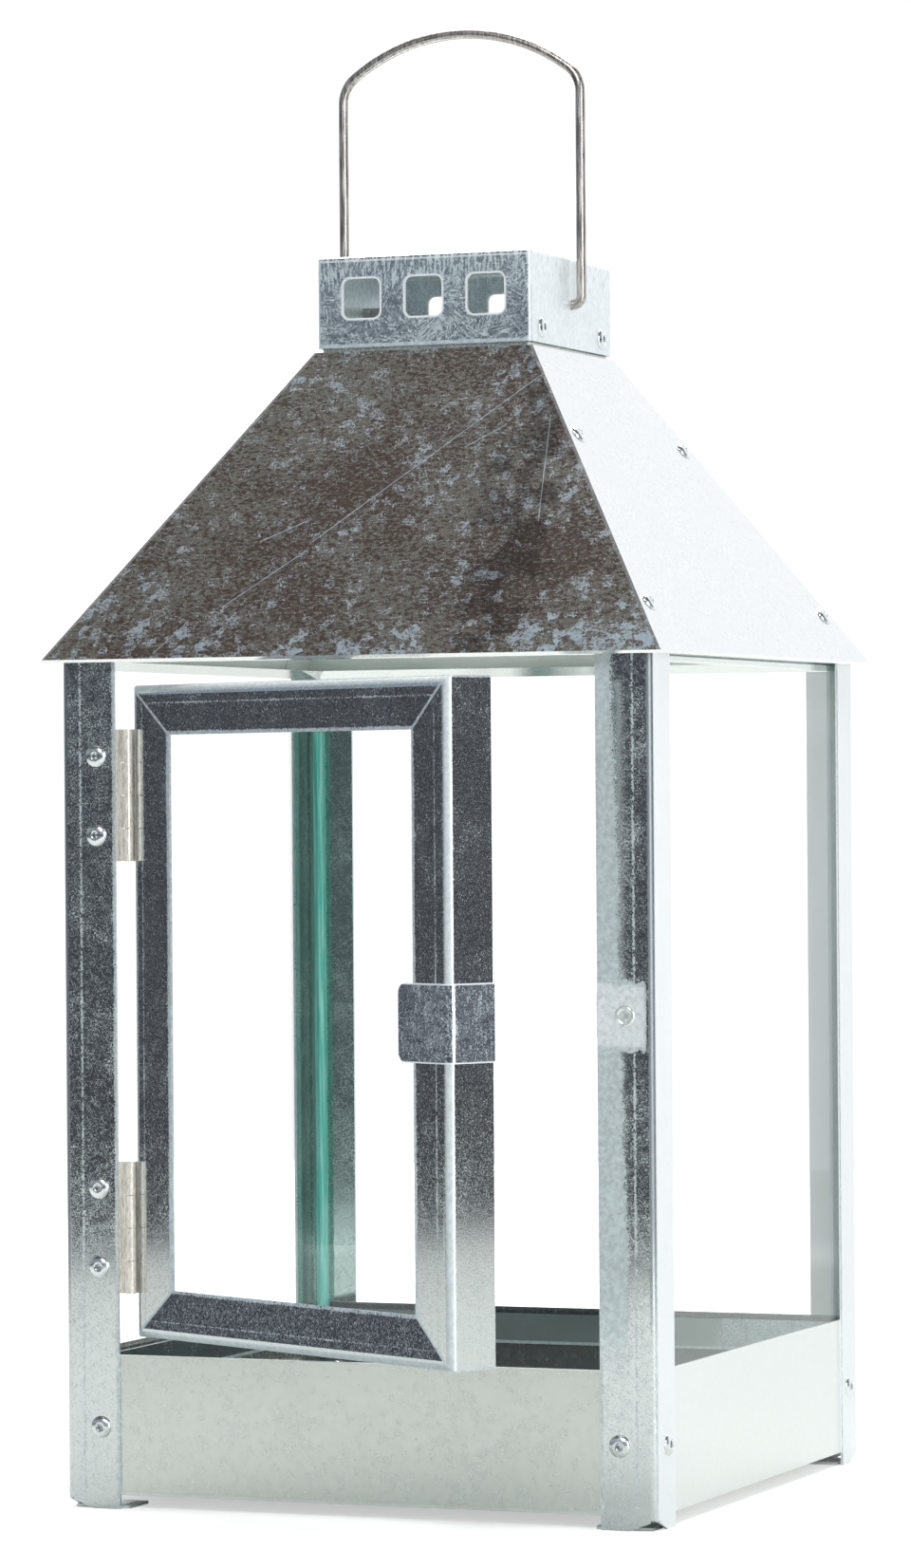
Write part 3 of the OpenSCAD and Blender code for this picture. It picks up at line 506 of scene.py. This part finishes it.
def float_glass(name, face_normal, edge_axis=None, edge_at=0.0):
    """Clear glass by its broad faces and deep green by its edges in streaks of painted highlight;
    near a given edge, a painted reflection of the edge's green on the broad face.
    """
    finish, tree, shader, place = finish_start(name)
    normal = step(tree, "ShaderNodeTexCoord").outputs["Normal"]
    facing = step(tree, "ShaderNodeVectorMath", {0: normal, 1: face_normal},
                  operation="DOT_PRODUCT").outputs["Value"]
    broad = rises(tree, apart(tree, facing), BROAD_FACE)
    if edge_axis is not None:
        from_edge = apart(tree, coordinates(tree, place)[edge_axis], edge_at)
        broad = times(tree, broad, rises(tree, from_edge, EDGE_REFLECTION_STRIP))
    smears = rises(tree, noise(tree, place, scale=0.03, detail=4.0), SMEARS)
    gloss = step(tree, "ShaderNodeFresnel", {"IOR": GLASS_IOR}).outputs[0]
    outside = minus(tree, 1.0, step(tree, "ShaderNodeNewGeometry").outputs["Backfacing"])
    cover = times(tree, plus(tree, times(tree, gloss, GLASS_GLOSS), smears), outside)
    along = noise(tree, stretched(tree, place, EDGE_STREAKS), scale=1.6)
    edge = blend_colours(tree, ramp(tree, along, *NARROW_MIDDLE), EDGE_DEEP, EDGE_HIGHLIGHT_TEAL)
    tree.links.new(blend_colours(tree, broad, edge, GLASS_TINT), shader.inputs["Base Color"])
    tree.links.new(blend_numbers(tree, broad, EDGE_COVER, cover), shader.inputs["Alpha"])
    tree.links.new(broad, shader.inputs["Metallic"])
    smeared = ramp(tree, smears, 0.0, MOST_SMEARED, *SMEARED_DULL)
    tree.links.new(smeared, shader.inputs["Roughness"])
    return finish


side_glass = float_glass("side_glass", face_normal=(1, 0, 0))
rear_glass = float_glass("rear_glass", face_normal=(0, 1, 0), edge_axis=0, edge_at=-PANE_REACH)
wear(side_glass, "pane_left", "pane_right")
wear(rear_glass, "pane_rear")

# Painted highlight along the lower fold and painted light towards the right-hand end; painted shade
# along the middle
CHANNEL_FOLD, FOLD_HIGHLIGHT_HALF, CHANNEL_LIT_END = 31.8, (0.3, 0.6, 0.6), (20.0, 70.0, 0.3)
CHANNEL_DARK_X, CHANNEL_DARK = -15.0, (25.0, 70.0, 0.3)


def channel_painted_light(tree, place):
    """A painted highlight on the lower fold, and painted light on the paler right-hand end."""
    x, _, z = coordinates(tree, place)
    fold = fades(tree, apart(tree, z, CHANNEL_FOLD), FOLD_HIGHLIGHT_HALF)
    return most(tree, fold, rises(tree, x, CHANNEL_LIT_END)), None


def channel_shade(tree, place):
    """Darker along the middle of the rear channel, where less light gets in."""
    x = coordinates(tree, place)[0]
    return fades(tree, apart(tree, x, CHANNEL_DARK_X), CHANNEL_DARK)


channel_zinc = zinc_sheet("channel_zinc", mirror=(0.58, 0.68, 0.70, 1),
                          frost=(0.62, 0.72, 0.72, 1), cover=(0.56, 0.8), dull=(0.12, 0.4),
                          frost_metal=0.5, hatch=0.2, scratch=0.2, marks=channel_painted_light,
                          darker=channel_shade)
wear(channel_zinc, "pane_channel_left", "pane_channel_right", "pane_channel_rear")

# ---- Eave frame ----
# A flat square frame of sheet on top of the posts. Its outer edge is the thin rim under the
# roof, and its inner lip keeps the upper edges of the panes in.
EAVE_LEAN = 0.30
# Near-white zinc, paler than the other sheets: painted light on the frame and its underside
lit_eave_zinc = zinc_sheet("lit_eave_zinc", mirror=(0.95, 0.97, 0.95, 1), frost=(0.93, 0.96, 0.93, 1),
                       cover=(0.55, 0.8), dull=(0.08, 0.2), veil=0.1, frost_metal=0.8, hatch=0.1,
                       scratch=0.2, tilt=EAVE_LEAN)
wear(lit_eave_zinc, "eave_frame")

# ---- Roof ----
# Four sheets: the front and rear ones have flanges folded under the side sheets, and each side
# sheet is riveted to them, four blind rivets to a side. The zinc has large flakes here.
EAVE_Z, ROOF_H, EAVE_HALF, ROOF_TOP_HALF = 232.0, 86.0, 90.0, 32.6
HIP_SLOPE = 0.667
ROLLING, ROLLED_LINES = (0.22, 0.22, 3.2), (0.60, 0.70, 0.16)
PALE_BY_HIP, HIP_EDGE, PALE_FOOT = (4.0, 26.0, 0.05), (0.4, 1.2, 0.3), (232.8, 252.0, 0.12)
BARE_BAND_X, BARE_BAND = 42.0, (3.0, 10.0, 0.06)
DARK_BAND_X, DARK_BAND, DARK_BAND_WANDER = 40.0, (2.0, 11.0, 0.42), 7.0
# The two ends of each long scratch on the front sheet, as x and z
ROOF_SCRATCHES = (((39.0, 310.5), (-20.0, 262.0)), ((32.0, 296.0), (18.0, 288.0)),
                  ((-20.0, 270.0), (-36.0, 263.0)), ((-18.0, 262.0), (-41.0, 245.0)),
                  ((43.0, 298.0), (47.0, 266.0)), ((-58.0, 232.0), (-48.0, 243.0)))
SCRATCH_WIDTH, SCRATCH_TAPER = (0.08, 0.16, 0.75), 4.0


def scratch_line(tree, x, z, start, end):
    """One straight scratch that thins out at both ends."""
    reach = math.hypot(end[0] - start[0], end[1] - start[1])
    ux, uz = (end[0] - start[0]) / reach, (end[1] - start[1]) / reach
    dx, dz = minus(tree, x, start[0]), minus(tree, z, start[1])
    along = plus(tree, times(tree, dx, ux), times(tree, dz, uz))
    across = minus(tree, times(tree, dx, uz), times(tree, dz, ux))
    line = fades(tree, apart(tree, across), SCRATCH_WIDTH)
    ends = times(tree, rises(tree, along, (0.0, SCRATCH_TAPER, 1.0)),
                 fades(tree, along, (reach - SCRATCH_TAPER, reach, 1.0)))
    return times(tree, line, ends)


def roof_marks(tree, place):
    """Fine lines along the sheet, a paler foot and right side, and the long scratches."""
    x, _, z = coordinates(tree, place)
    rolled = noise(tree, stretched(tree, place, ROLLING), detail=1.0)
    found = rises(tree, rolled, ROLLED_LINES)
    hip_x = minus(tree, EAVE_HALF, times(tree, minus(tree, z, EAVE_Z), HIP_SLOPE))
    from_hip = minus(tree, hip_x, x)
    found = plus(tree, found, fades(tree, from_hip, PALE_BY_HIP))
    found = plus(tree, found, fades(tree, from_hip, HIP_EDGE))
    found = plus(tree, found, fades(tree, z, PALE_FOOT))
    found = minus(tree, found, fades(tree, apart(tree, x, BARE_BAND_X), BARE_BAND))
    lines = [scratch_line(tree, x, z, start, end) for start, end in ROOF_SCRATCHES]
    return most(tree, found, *lines), None


def roof_shade(tree, place):
    """The upright darker band near the right-hand hip."""
    x = coordinates(tree, place)[0]
    wander = swing(tree, noise(tree, place, scale=0.12, detail=3.0), DARK_BAND_WANDER)
    return fades(tree, apart(tree, plus(tree, x, wander), DARK_BAND_X), DARK_BAND)


# The roof's undersides take two near-white colours in inside: painted light
ROOF_LOOK = {"cover": (0.60, 0.84), "grain_mm": 0.6, "flake_mm": 2.6, "flakes": 0.40,
             "frost_metal": 0.66, "hatch": 0.3, "mottle": (0.7, 0.7, 1.5),
             "inside": ((0.84, 0.90, 0.87, 1), (0.99, 1.0, 0.99, 1))}
roof_zinc = zinc_sheet("roof_zinc", mirror=(0.48, 0.36, 0.30, 1), frost=(0.48, 0.63, 0.75, 1),
                       second=(0.95, 0.97, 0.88, 1), dull=(0.2, 0.4), marks=roof_marks,
                       darker=roof_shade, **ROOF_LOOK)
rear_zinc = zinc_sheet("rear_zinc", mirror=(0.17, 0.14, 0.12, 1), frost=(0.20, 0.25, 0.29, 1),
                       second=(0.32, 0.33, 0.31, 1), dull=(0.3, 0.45), **ROOF_LOOK)
side_zinc = zinc_sheet("side_zinc", mirror=(0.78, 0.80, 0.81, 1), frost=(0.82, 0.84, 0.85, 1),
                       cover=(0.4, 0.8), grain_mm=1.2, dull=(0.12, 0.3), veil=0.2, hatch=0.1,
                       scratch=0.2, inside=ROOF_LOOK["inside"])
wear(roof_zinc, "roof_front")
wear(rear_zinc, "roof_rear")
wear(side_zinc, "roof_left", "roof_right")

HIP_TO_RIVET = 7.0
ROOF_RIVET_LEVELS = (13.3, 60.5)
slope_run = EAVE_HALF - ROOF_TOP_HALF
for side, where in ((-1, "left"), (1, "right")):
    roof_set = bmesh.new()
    for level in ROOF_RIVET_LEVELS:
        out = EAVE_HALF - level * slope_run / ROOF_H
        for end in (-1, 1):
            spot = (side * out, end * (out - HIP_TO_RIVET), EAVE_Z + level)
            turned(roof_set, rivet_profile(2 * SHEET), spot, (side * ROOF_H, 0, slope_run))
    finished_piece(f"roof_rivet_set_{where}", roof_set, rivet_aluminium, "lantern",
                   f"roof_rivets_{where}")

# ---- Cap and collar ----
# A box folded from sheet with rounded edges, three square vents in its front and three behind.
# It sits over a short collar in the roof's top and is riveted to it on both sides.
CAP_HALF, CAP_TOP, CAP_FOOT = 32.0, 344.6, 319.2
VENT_Z, VENT_STEP, VENT_FLAT, VENT_CORNER = 332.8, 18.6, 3.5, 2.0
# Painted highlights round the vents, on the folds, along the upper rim and at the foot
VENT_EDGE_HIGHLIGHT, CAP_FOLD_HIGHLIGHT = (0.35, 0.75, 1.0), (0.5, 1.1, 0.85)
CAP_RIM, RIM_HIGHLIGHT_HALF = CAP_TOP - 1.3, (0.1, 0.4, 0.8)
FOOT_HIGHLIGHT = (CAP_FOOT + 0.4, CAP_FOOT + 1.2, 0.7)
PLUMES, PLUME_LIMITS, PLUME_FROST = (1.5, 1.5, 0.22), (0.42, 0.62), (-0.12, 0.3)
PLUME_RISE = (333.0, 341.0, 1.0)


def cap_marks(tree, place):
    """Upright feathers of frost below the upper edge, and painted highlights round the vents, on
    the folds, along the upper rim and at the foot.
    """
    x, _, z = coordinates(tree, place)
    plumes = noise(tree, stretched(tree, place, PLUMES))
    plumes = ramp(tree, plumes, *PLUME_LIMITS, *PLUME_FROST)
    plumes = times(tree, plumes, rises(tree, z, PLUME_RISE))
    across = apart(tree, x)
    to_middle = sums(tree, "MINIMUM", across, apart(tree, across, VENT_STEP))
    ux = most(tree, minus(tree, to_middle, VENT_FLAT), 0.0)
    uz = most(tree, minus(tree, apart(tree, z, VENT_Z), VENT_FLAT), 0.0)
    span = sums(tree, "SQRT", plus(tree, times(tree, ux, ux), times(tree, uz, uz)), 0.0)
    vent = fades(tree, minus(tree, span, VENT_CORNER), VENT_EDGE_HIGHLIGHT)
    fold = fades(tree, minus(tree, CAP_HALF, across), CAP_FOLD_HIGHLIGHT)
    rim = fades(tree, apart(tree, z, CAP_RIM), RIM_HIGHLIGHT_HALF)
    foot = fades(tree, z, FOOT_HIGHLIGHT)
    return plus(tree, plumes, most(tree, vent, fold, rim, foot)), None


cap_zinc = zinc_sheet("cap_zinc", mirror=(0.76, 0.80, 0.83, 1), frost=(0.78, 0.87, 0.93, 1),
                      cover=(0.32, 0.72), grain_mm=0.6, dull=(0.08, 0.4), frost_metal=0.5,
                      needles=(7.0, 0.45, 3.5, 0.16), marks=cap_marks)
collar_zinc = zinc_sheet("collar_zinc", mirror=(0.6, 0.64, 0.6, 1), frost=(0.7, 0.74, 0.69, 1),
                         dull=(0.25, 0.45), veil=0.2)
wear(cap_zinc, "cap")
wear(collar_zinc, "collar")

CAP_RIVET_Y, CAP_RIVET_Z, CAP_GRIP = 23.5, 323.6, 2.24
cap_set = bmesh.new()
for side in (-1, 1):
    for end in (-1, 1):
        spot = (side * CAP_HALF, end * CAP_RIVET_Y, CAP_RIVET_Z)
        turned(cap_set, rivet_profile(CAP_GRIP), spot, (side, 0, 0))
finished_piece("cap_rivet_set", cap_set, rivet_aluminium, "lantern", "cap_rivets")

# ---- Bail ----
# One length of drawn steel wire, bent to an arch with straight legs. Its two ends turn inwards
# through holes in the cap's sides, and the legs are sprung so that it stays where it is put.
STEEL_MARKS = (0.35, 0.68)


def plain_steel(name, dark, light, dull, along=(0.6, 0.6, 0.6), metal=1.0):
    """Steel with fine marks, drawn out along an axis where along is smaller."""
    finish, tree, shader, place = finish_start(name)
    marks = noise(tree, stretched(tree, place, along), detail=4.0, roughness=0.65)
    tone = ramp(tree, marks, *STEEL_MARKS)
    tree.links.new(blend_colours(tree, tone, dark, light), shader.inputs["Base Color"])
    tree.links.new(ramp(tree, tone, 0.0, 1.0, *dull), shader.inputs["Roughness"])
    relief = {"Height": marks, "Strength": 0.15, "Distance": 0.05 * MM}
    tree.links.new(step(tree, "ShaderNodeBump", relief).outputs[0], shader.inputs["Normal"])
    shader.inputs["Metallic"].default_value = metal
    return finish


wire_steel = plain_steel("wire_steel", dark=(0.36, 0.32, 0.29, 1), light=(0.72, 0.68, 0.64, 1),
                         dull=(0.28, 0.42), along=(1.6, 1.6, 0.12))
wear(wire_steel, "bail")

# ---- Hinges ----
# Two small butt hinges of plated steel, each with four rolled knuckles on one pin. One leaf is
# riveted behind the post's face and the other outside the turned-in leg of the door's stile.
AXIS_X, AXIS_Y = -66.3, -85.9
HINGE_MIDDLES, HINGE_RIVET_HALF_GAP, HINGE_RIVET_REACH = (76.9, 194.9), 10.8, 9.4
hinge_steel = plain_steel("hinge_steel", dark=(0.74, 0.67, 0.59, 1), light=(0.97, 0.92, 0.84, 1),
                          dull=(0.24, 0.36), along=(2.0, 2.0, 0.3), metal=0.3)
wear(hinge_steel, "hinge_upper_post_leaf", "hinge_lower_post_leaf", "hinge_upper_pin",
     "hinge_lower_pin", "hinge_upper_door_leaf", "hinge_lower_door_leaf")
hinge_set = bmesh.new()
for middle in HINGE_MIDDLES:
    for end in (-1, 1):
        spot = (AXIS_X - HINGE_RIVET_REACH, -POST_CORNER, middle + end * HINGE_RIVET_HALF_GAP)
        turned(hinge_set, rivet_profile(2 * SHEET), spot, (0, -1, 0))
finished_piece("hinge_post_rivet_set", hinge_set, rivet_aluminium, "lantern",
               "hinge_post_rivets")

# ---- Catch ----
# A strip of spring steel behind the right-hand front post, held by one flat rivet whose ringed
# head shows on the post's face. The latch on the door rubs past its tongue.
CATCH_X = 77.7
FLAT_HEAD = ((0.0, 0.18), (1.1, 0.18), (1.45, 0.1), (1.75, 0.12), (1.95, 0.3), (2.3, 0.34),
             (2.6, 0.24), (2.8, 0.04), (2.8, 0.0), (1.5, 0.0), (1.5, -1.3), (2.2, -1.4),
             (2.2, -2.0), (1.5, -2.2), (0.0, -2.2))
catch_steel = plain_steel("catch_steel", dark=(0.42, 0.43, 0.43, 1), light=(0.75, 0.76, 0.76, 1),
                          dull=(0.25, 0.4))
flat_rivet_steel = plain_steel("flat_rivet_steel", dark=(0.74, 0.77, 0.75, 1),
                               light=(0.88, 0.90, 0.88, 1), dull=(0.2, 0.34), metal=0.6)
wear(catch_steel, "catch_spring")
catch_set = bmesh.new()
turned(catch_set, FLAT_HEAD, (CATCH_X, -POST_CORNER, CATCH_Z), (0, -1, 0))
finished_piece("catch_flat_rivet", catch_set, flat_rivet_steel, "lantern",
               "catch_rivet")

# ---- Door ----
# Four mitred angles of sheet, their faces outwards and their legs turned in, with one pane
# held from behind by four clips. The frame hangs on the hinges and is drawn standing open.
DOOR_OPEN = math.radians(28.1)
DOOR_X, DOOR_Z, DOOR_FRONT = (-67.0, 67.2), (46.9, 224.9), -84.1
HINGE_STILE_W, LATCH_STILE_W, RAIL_W = 17.1, 14.1, 13.7
# Painted highlight along the pressed line, and a painted sheen on the bends
DOOR_LINE, LINE_SPREAD, BEND_SHEEN = 5.0, (0.0, 0.5, 0.2), (1.1, 2.3, 1.0)
# In shares of a member's width: the painted highlight at its inner edge, and along the seam of a
# mitre
DOOR_INNER_HIGHLIGHT, MITRE_SEAM_HIGHLIGHT, SAME_SHARE = (0.9, 0.96, 0.35), (0.015, 0.05, 0.6), 0.001
RAIL_LEAN = -0.07


def door_painted_highlights(tree, place):
    """Painted highlights as frost on the pressed lines, inner edges and seams of the mitres; the
    bends, with a painted sheen.
    """
    opened = {"Vector": place, "Center": (AXIS_X, AXIS_Y, 0.0), "Angle": DOOR_OPEN}
    shut = step(tree, "ShaderNodeVectorRotate", opened, rotation_type="Z_AXIS").outputs[0]
    x, y, z = coordinates(tree, shut)
    members = ((minus(tree, x, DOOR_X[0]), HINGE_STILE_W),
               (minus(tree, DOOR_X[1], x), LATCH_STILE_W),
               (minus(tree, z, DOOR_Z[0]), RAIL_W), (minus(tree, DOOR_Z[1], z), RAIL_W))
    shares = [sums(tree, "DIVIDE", inset, width) for inset, width in members]
    upright = sums(tree, "MINIMUM", shares[0], shares[1])
    level = sums(tree, "MINIMUM", shares[2], shares[3])
    share = sums(tree, "MINIMUM", upright, level)
    behind_front = minus(tree, y, DOOR_FRONT)
    pressed, bends = [], []
    for (inset, _), own in zip(members, shares):
        on_member = sums(tree, "LESS_THAN", own, plus(tree, share, SAME_SHARE))
        line = fades(tree, apart(tree, inset, DOOR_LINE), LINE_SPREAD)
        pressed.append(times(tree, line, on_member))
        bends.append(fades(tree, most(tree, inset, behind_front), BEND_SHEEN))
    seam = fades(tree, apart(tree, upright, level), MITRE_SEAM_HIGHLIGHT)
    found = most(tree, *pressed, rises(tree, share, DOOR_INNER_HIGHLIGHT), seam)
    return found, most(tree, *bends)


door_zinc = zinc_sheet("door_zinc", mirror=(0.66, 0.68, 0.67, 1), frost=(0.71, 0.79, 0.84, 1),
                       cover=(0.51, 0.80), grain_mm=0.5, hatch=0.42, marks=door_painted_highlights)
leaning_zinc = zinc_sheet("leaning_zinc", mirror=(0.66, 0.69, 0.70, 1),
                          frost=(0.68, 0.78, 0.86, 1), cover=(0.55, 0.92),
                          needles=(5.0, 0.4, 2.4, 0.06), marks=door_painted_highlights, tilt=RAIL_LEAN)
door_normal = (-math.sin(DOOR_OPEN), -math.cos(DOOR_OPEN), 0.0)
door_glass = float_glass("door_glass", door_normal)
wear(door_zinc, "door_stile_hinge", "door_stile_latch", "door_rail_top")
wear(leaning_zinc, "door_rail_bottom")
wear(door_glass, "door_pane")
wear(catch_steel, "door_pane_clips")

swing_open = Matrix.Rotation(-DOOR_OPEN, 3, "Z")
hinge_line = Vector((AXIS_X, AXIS_Y, 0.0))
door_set = bmesh.new()
for middle in HINGE_MIDDLES:
    for end in (-1, 1):
        spot = Vector((DOOR_X[0] - SHEET, AXIS_Y + HINGE_RIVET_REACH,
                       middle + end * HINGE_RIVET_HALF_GAP))
        opened_spot = hinge_line + swing_open @ (spot - hinge_line)
        turned(door_set, rivet_profile(2 * SHEET), opened_spot, swing_open @ Vector((-1, 0, 0)))
finished_piece("hinge_door_rivet_set", door_set, rivet_aluminium, "door",
               "hinge_door_rivets")

# ---- Latch clip ----
# A strip of softer, duller sheet folded round the door's free stile, its front end cut with
# round corners to make a finger grip.
LATCH_Z, LATCH_HALF = 135.8, 10.25
# Painted highlight along the cut edges
CUT_EDGE_HIGHLIGHT = (LATCH_HALF - 0.5, LATCH_HALF - 0.2, 1.0)
DRAWING, DRAWN_LINES = (2.4, 2.4, 0.16), (0.5, 0.68, 0.09)


def latch_marks(tree, place):
    """Painted highlights along the cut edges above and below, and upright drawing lines."""
    z = coordinates(tree, place)[2]
    edge = rises(tree, apart(tree, z, LATCH_Z), CUT_EDGE_HIGHLIGHT)
    drawn = noise(tree, stretched(tree, place, DRAWING), detail=1.0)
    return most(tree, edge, rises(tree, drawn, DRAWN_LINES)), None


latch_zinc = zinc_sheet("latch_zinc", mirror=(0.72, 0.77, 0.80, 1), frost=(0.68, 0.79, 0.88, 1),
                        cover=(0.42, 0.82), grain_mm=0.5, dull=(0.12, 0.42), bump=0.05,
                        needles=(5.0, 0.4, 2.0, 0.05), marks=latch_marks)
wear(latch_zinc, "latch_clip")

# ---- Floor ----
# The plain pale surface that the lantern stands on. It keeps the lantern's soft shadow, and
# glows towards its far end, so that it runs into the white backdrop.
FLOOR_NEAR, FLOOR_KINK, FLOOR_FAR = -0.84, 0.2, 1.3
FLOOR_LEFT, FLOOR_RIGHT, FLOOR_SPREAD = -0.95, 1.1, 1.2
FLOOR_DARK, FLOOR_LIGHT = (0.79, 0.81, 0.775, 1), (0.83, 0.85, 0.815, 1)
SEEN_GLOW, SEEN_FROM = (0.52, 1.2), (250.0, 900.0)
MIRRORED = (900.0, 2500.0, 1.0)
floor_mesh = bpy.data.meshes.new("floor")
corners = [(FLOOR_LEFT, FLOOR_NEAR, 0), (FLOOR_RIGHT, FLOOR_NEAR, 0), (FLOOR_RIGHT, FLOOR_KINK, 0),
           (FLOOR_SPREAD, FLOOR_FAR, 0), (-FLOOR_SPREAD, FLOOR_FAR, 0), (FLOOR_LEFT, FLOOR_KINK, 0)]
floor_mesh.from_pydata(corners, [], [range(len(corners))])
floor = bpy.data.objects.new("floor", floor_mesh)
bpy.context.scene.collection.objects.link(floor)
pale_floor, tree, shader, place = finish_start("pale_floor")
floor_mesh.materials.append(pale_floor)
soft = blend_colours(tree, noise(tree, place, scale=0.01), FLOOR_DARK, FLOOR_LIGHT)
tree.links.new(soft, shader.inputs["Base Color"])
shader.inputs["Roughness"].default_value = 0.9
shader.inputs["Specular IOR Level"].default_value = 0.1
rays = step(tree, "ShaderNodeLightPath").outputs
away = step(tree, "ShaderNodeVectorMath", {0: place}, operation="LENGTH").outputs["Value"]
seen = most(tree, rays["Is Camera Ray"], rays["Is Transmission Ray"])
seen = times(tree, seen, ramp(tree, away, *SEEN_FROM, *SEEN_GLOW))
mirrored = times(tree, rays["Is Glossy Ray"], rises(tree, away, MIRRORED))
shader.inputs["Emission Color"].default_value = (1, 1, 1, 1)
tree.links.new(most(tree, seen, mirrored), shader.inputs["Emission Strength"])

# ---- Studio light ----
# A white backdrop behind, a dim room in front, one soft lamp over the lantern, one near the
# camera and one at the right, so that upright faces turned to the front mirror the dim room.
BACKDROP, BACKDROP_TURN, BACKDROP_EDGE = (1.08, 1.10, 1.12, 1), 0.22, (0.12, 0.45)
ROOM_LOW, ROOM_MID, ROOM_HIGH = ((0.052, 0.056, 0.070, 1), (0.28, 0.35, 0.41, 1),
                                 (0.085, 0.077, 0.072, 1))
LOW_TO_MID, MID_TO_HIGH = (0.045, 0.16), (0.3, 0.75)
SEEN_WHITE = (1.2, 1.2, 1.2, 1)
world = bpy.data.worlds.new("studio")
bpy.context.scene.world = world
world.use_nodes = True
tree = world.node_tree
x, y, z = coordinates(tree, step(tree, "ShaderNodeTexCoord").outputs["Generated"])
behind = ramp(tree, minus(tree, y, times(tree, x, BACKDROP_TURN)), *BACKDROP_EDGE)
room = blend_colours(tree, ramp(tree, z, *LOW_TO_MID), ROOM_LOW, ROOM_MID)
room = blend_colours(tree, ramp(tree, z, *MID_TO_HIGH), room, ROOM_HIGH)
room = blend_colours(tree, behind, room, BACKDROP)
rays = step(tree, "ShaderNodeLightPath").outputs
not_mirrored = sums(tree, "LESS_THAN", rays["Glossy Depth"], 0.5)
through = times(tree, rays["Is Transmission Ray"], not_mirrored)
seen = most(tree, rays["Is Camera Ray"], through)
colour = blend_colours(tree, seen, room, SEEN_WHITE)
tree.links.new(colour, tree.nodes["Background"].inputs["Color"])


def soft_lamp(name, place, aim, size, watts):
    lamp = bpy.data.lights.new(name, "AREA")
    lamp.shape = "RECTANGLE"
    lamp.size, lamp.size_y = size
    lamp.energy = watts
    holder = bpy.data.objects.new(name, lamp)
    bpy.context.scene.collection.objects.link(holder)
    holder.location = place
    holder.rotation_mode = "QUATERNION"
    holder.rotation_quaternion = (Vector(aim) - Vector(place)).to_track_quat("-Z", "Y")


soft_lamp("lamp_over", place=(0.0, 0.5, 1.9), aim=(0, 0, 0.1), size=(1.6, 1.4), watts=26)
soft_lamp("lamp_by_camera", place=(0.30, -1.50, 1.25), aim=(0, 0, 0.2), size=(0.7, 0.5), watts=12)
soft_lamp("lamp_right", place=(1.35, -0.95, 0.45), aim=(0, 0, 0.2), size=(0.5, 1.0), watts=8)

# ---- Camera ----
# Almost level with the middle of the lantern, a little to the right of the door's front.
CAMERA_TURN, CAMERA_RISE = math.radians(21.70), math.radians(0.125)
CAMERA_ROLL = math.radians(-0.424)
CAMERA_AWAY, AIM_Z = 1.6039, 0.190
SENSOR_MM = 36.0
FOCAL_PX, LONG_PX, SHORT_PX = 5982.5, 1652, 960
AXIS_PX_X, AXIS_PX_Y = 494.9, 853.7
camera = bpy.data.objects.new("camera", bpy.data.cameras.new("camera"))
bpy.context.scene.collection.objects.link(camera)
bpy.context.scene.camera = camera
back = Vector((math.sin(CAMERA_TURN) * math.cos(CAMERA_RISE),
               -math.cos(CAMERA_TURN) * math.cos(CAMERA_RISE), math.sin(CAMERA_RISE)))
right = Vector((math.cos(CAMERA_TURN), math.sin(CAMERA_TURN), 0.0))
upright = Matrix((right, back.cross(right), back)).transposed()
roll = Matrix.Rotation(CAMERA_ROLL, 3, "Z")
stand = Matrix.Translation(back * CAMERA_AWAY + Vector((0, 0, AIM_Z)))
camera.matrix_world = stand @ (upright @ roll).to_4x4()
camera.data.sensor_width = SENSOR_MM
camera.data.lens = FOCAL_PX * SENSOR_MM / LONG_PX
camera.data.shift_x = -(AXIS_PX_X - SHORT_PX / 2) / LONG_PX
camera.data.shift_y = (AXIS_PX_Y - LONG_PX / 2) / LONG_PX
bpy.context.scene.view_settings.view_transform = "Standard"
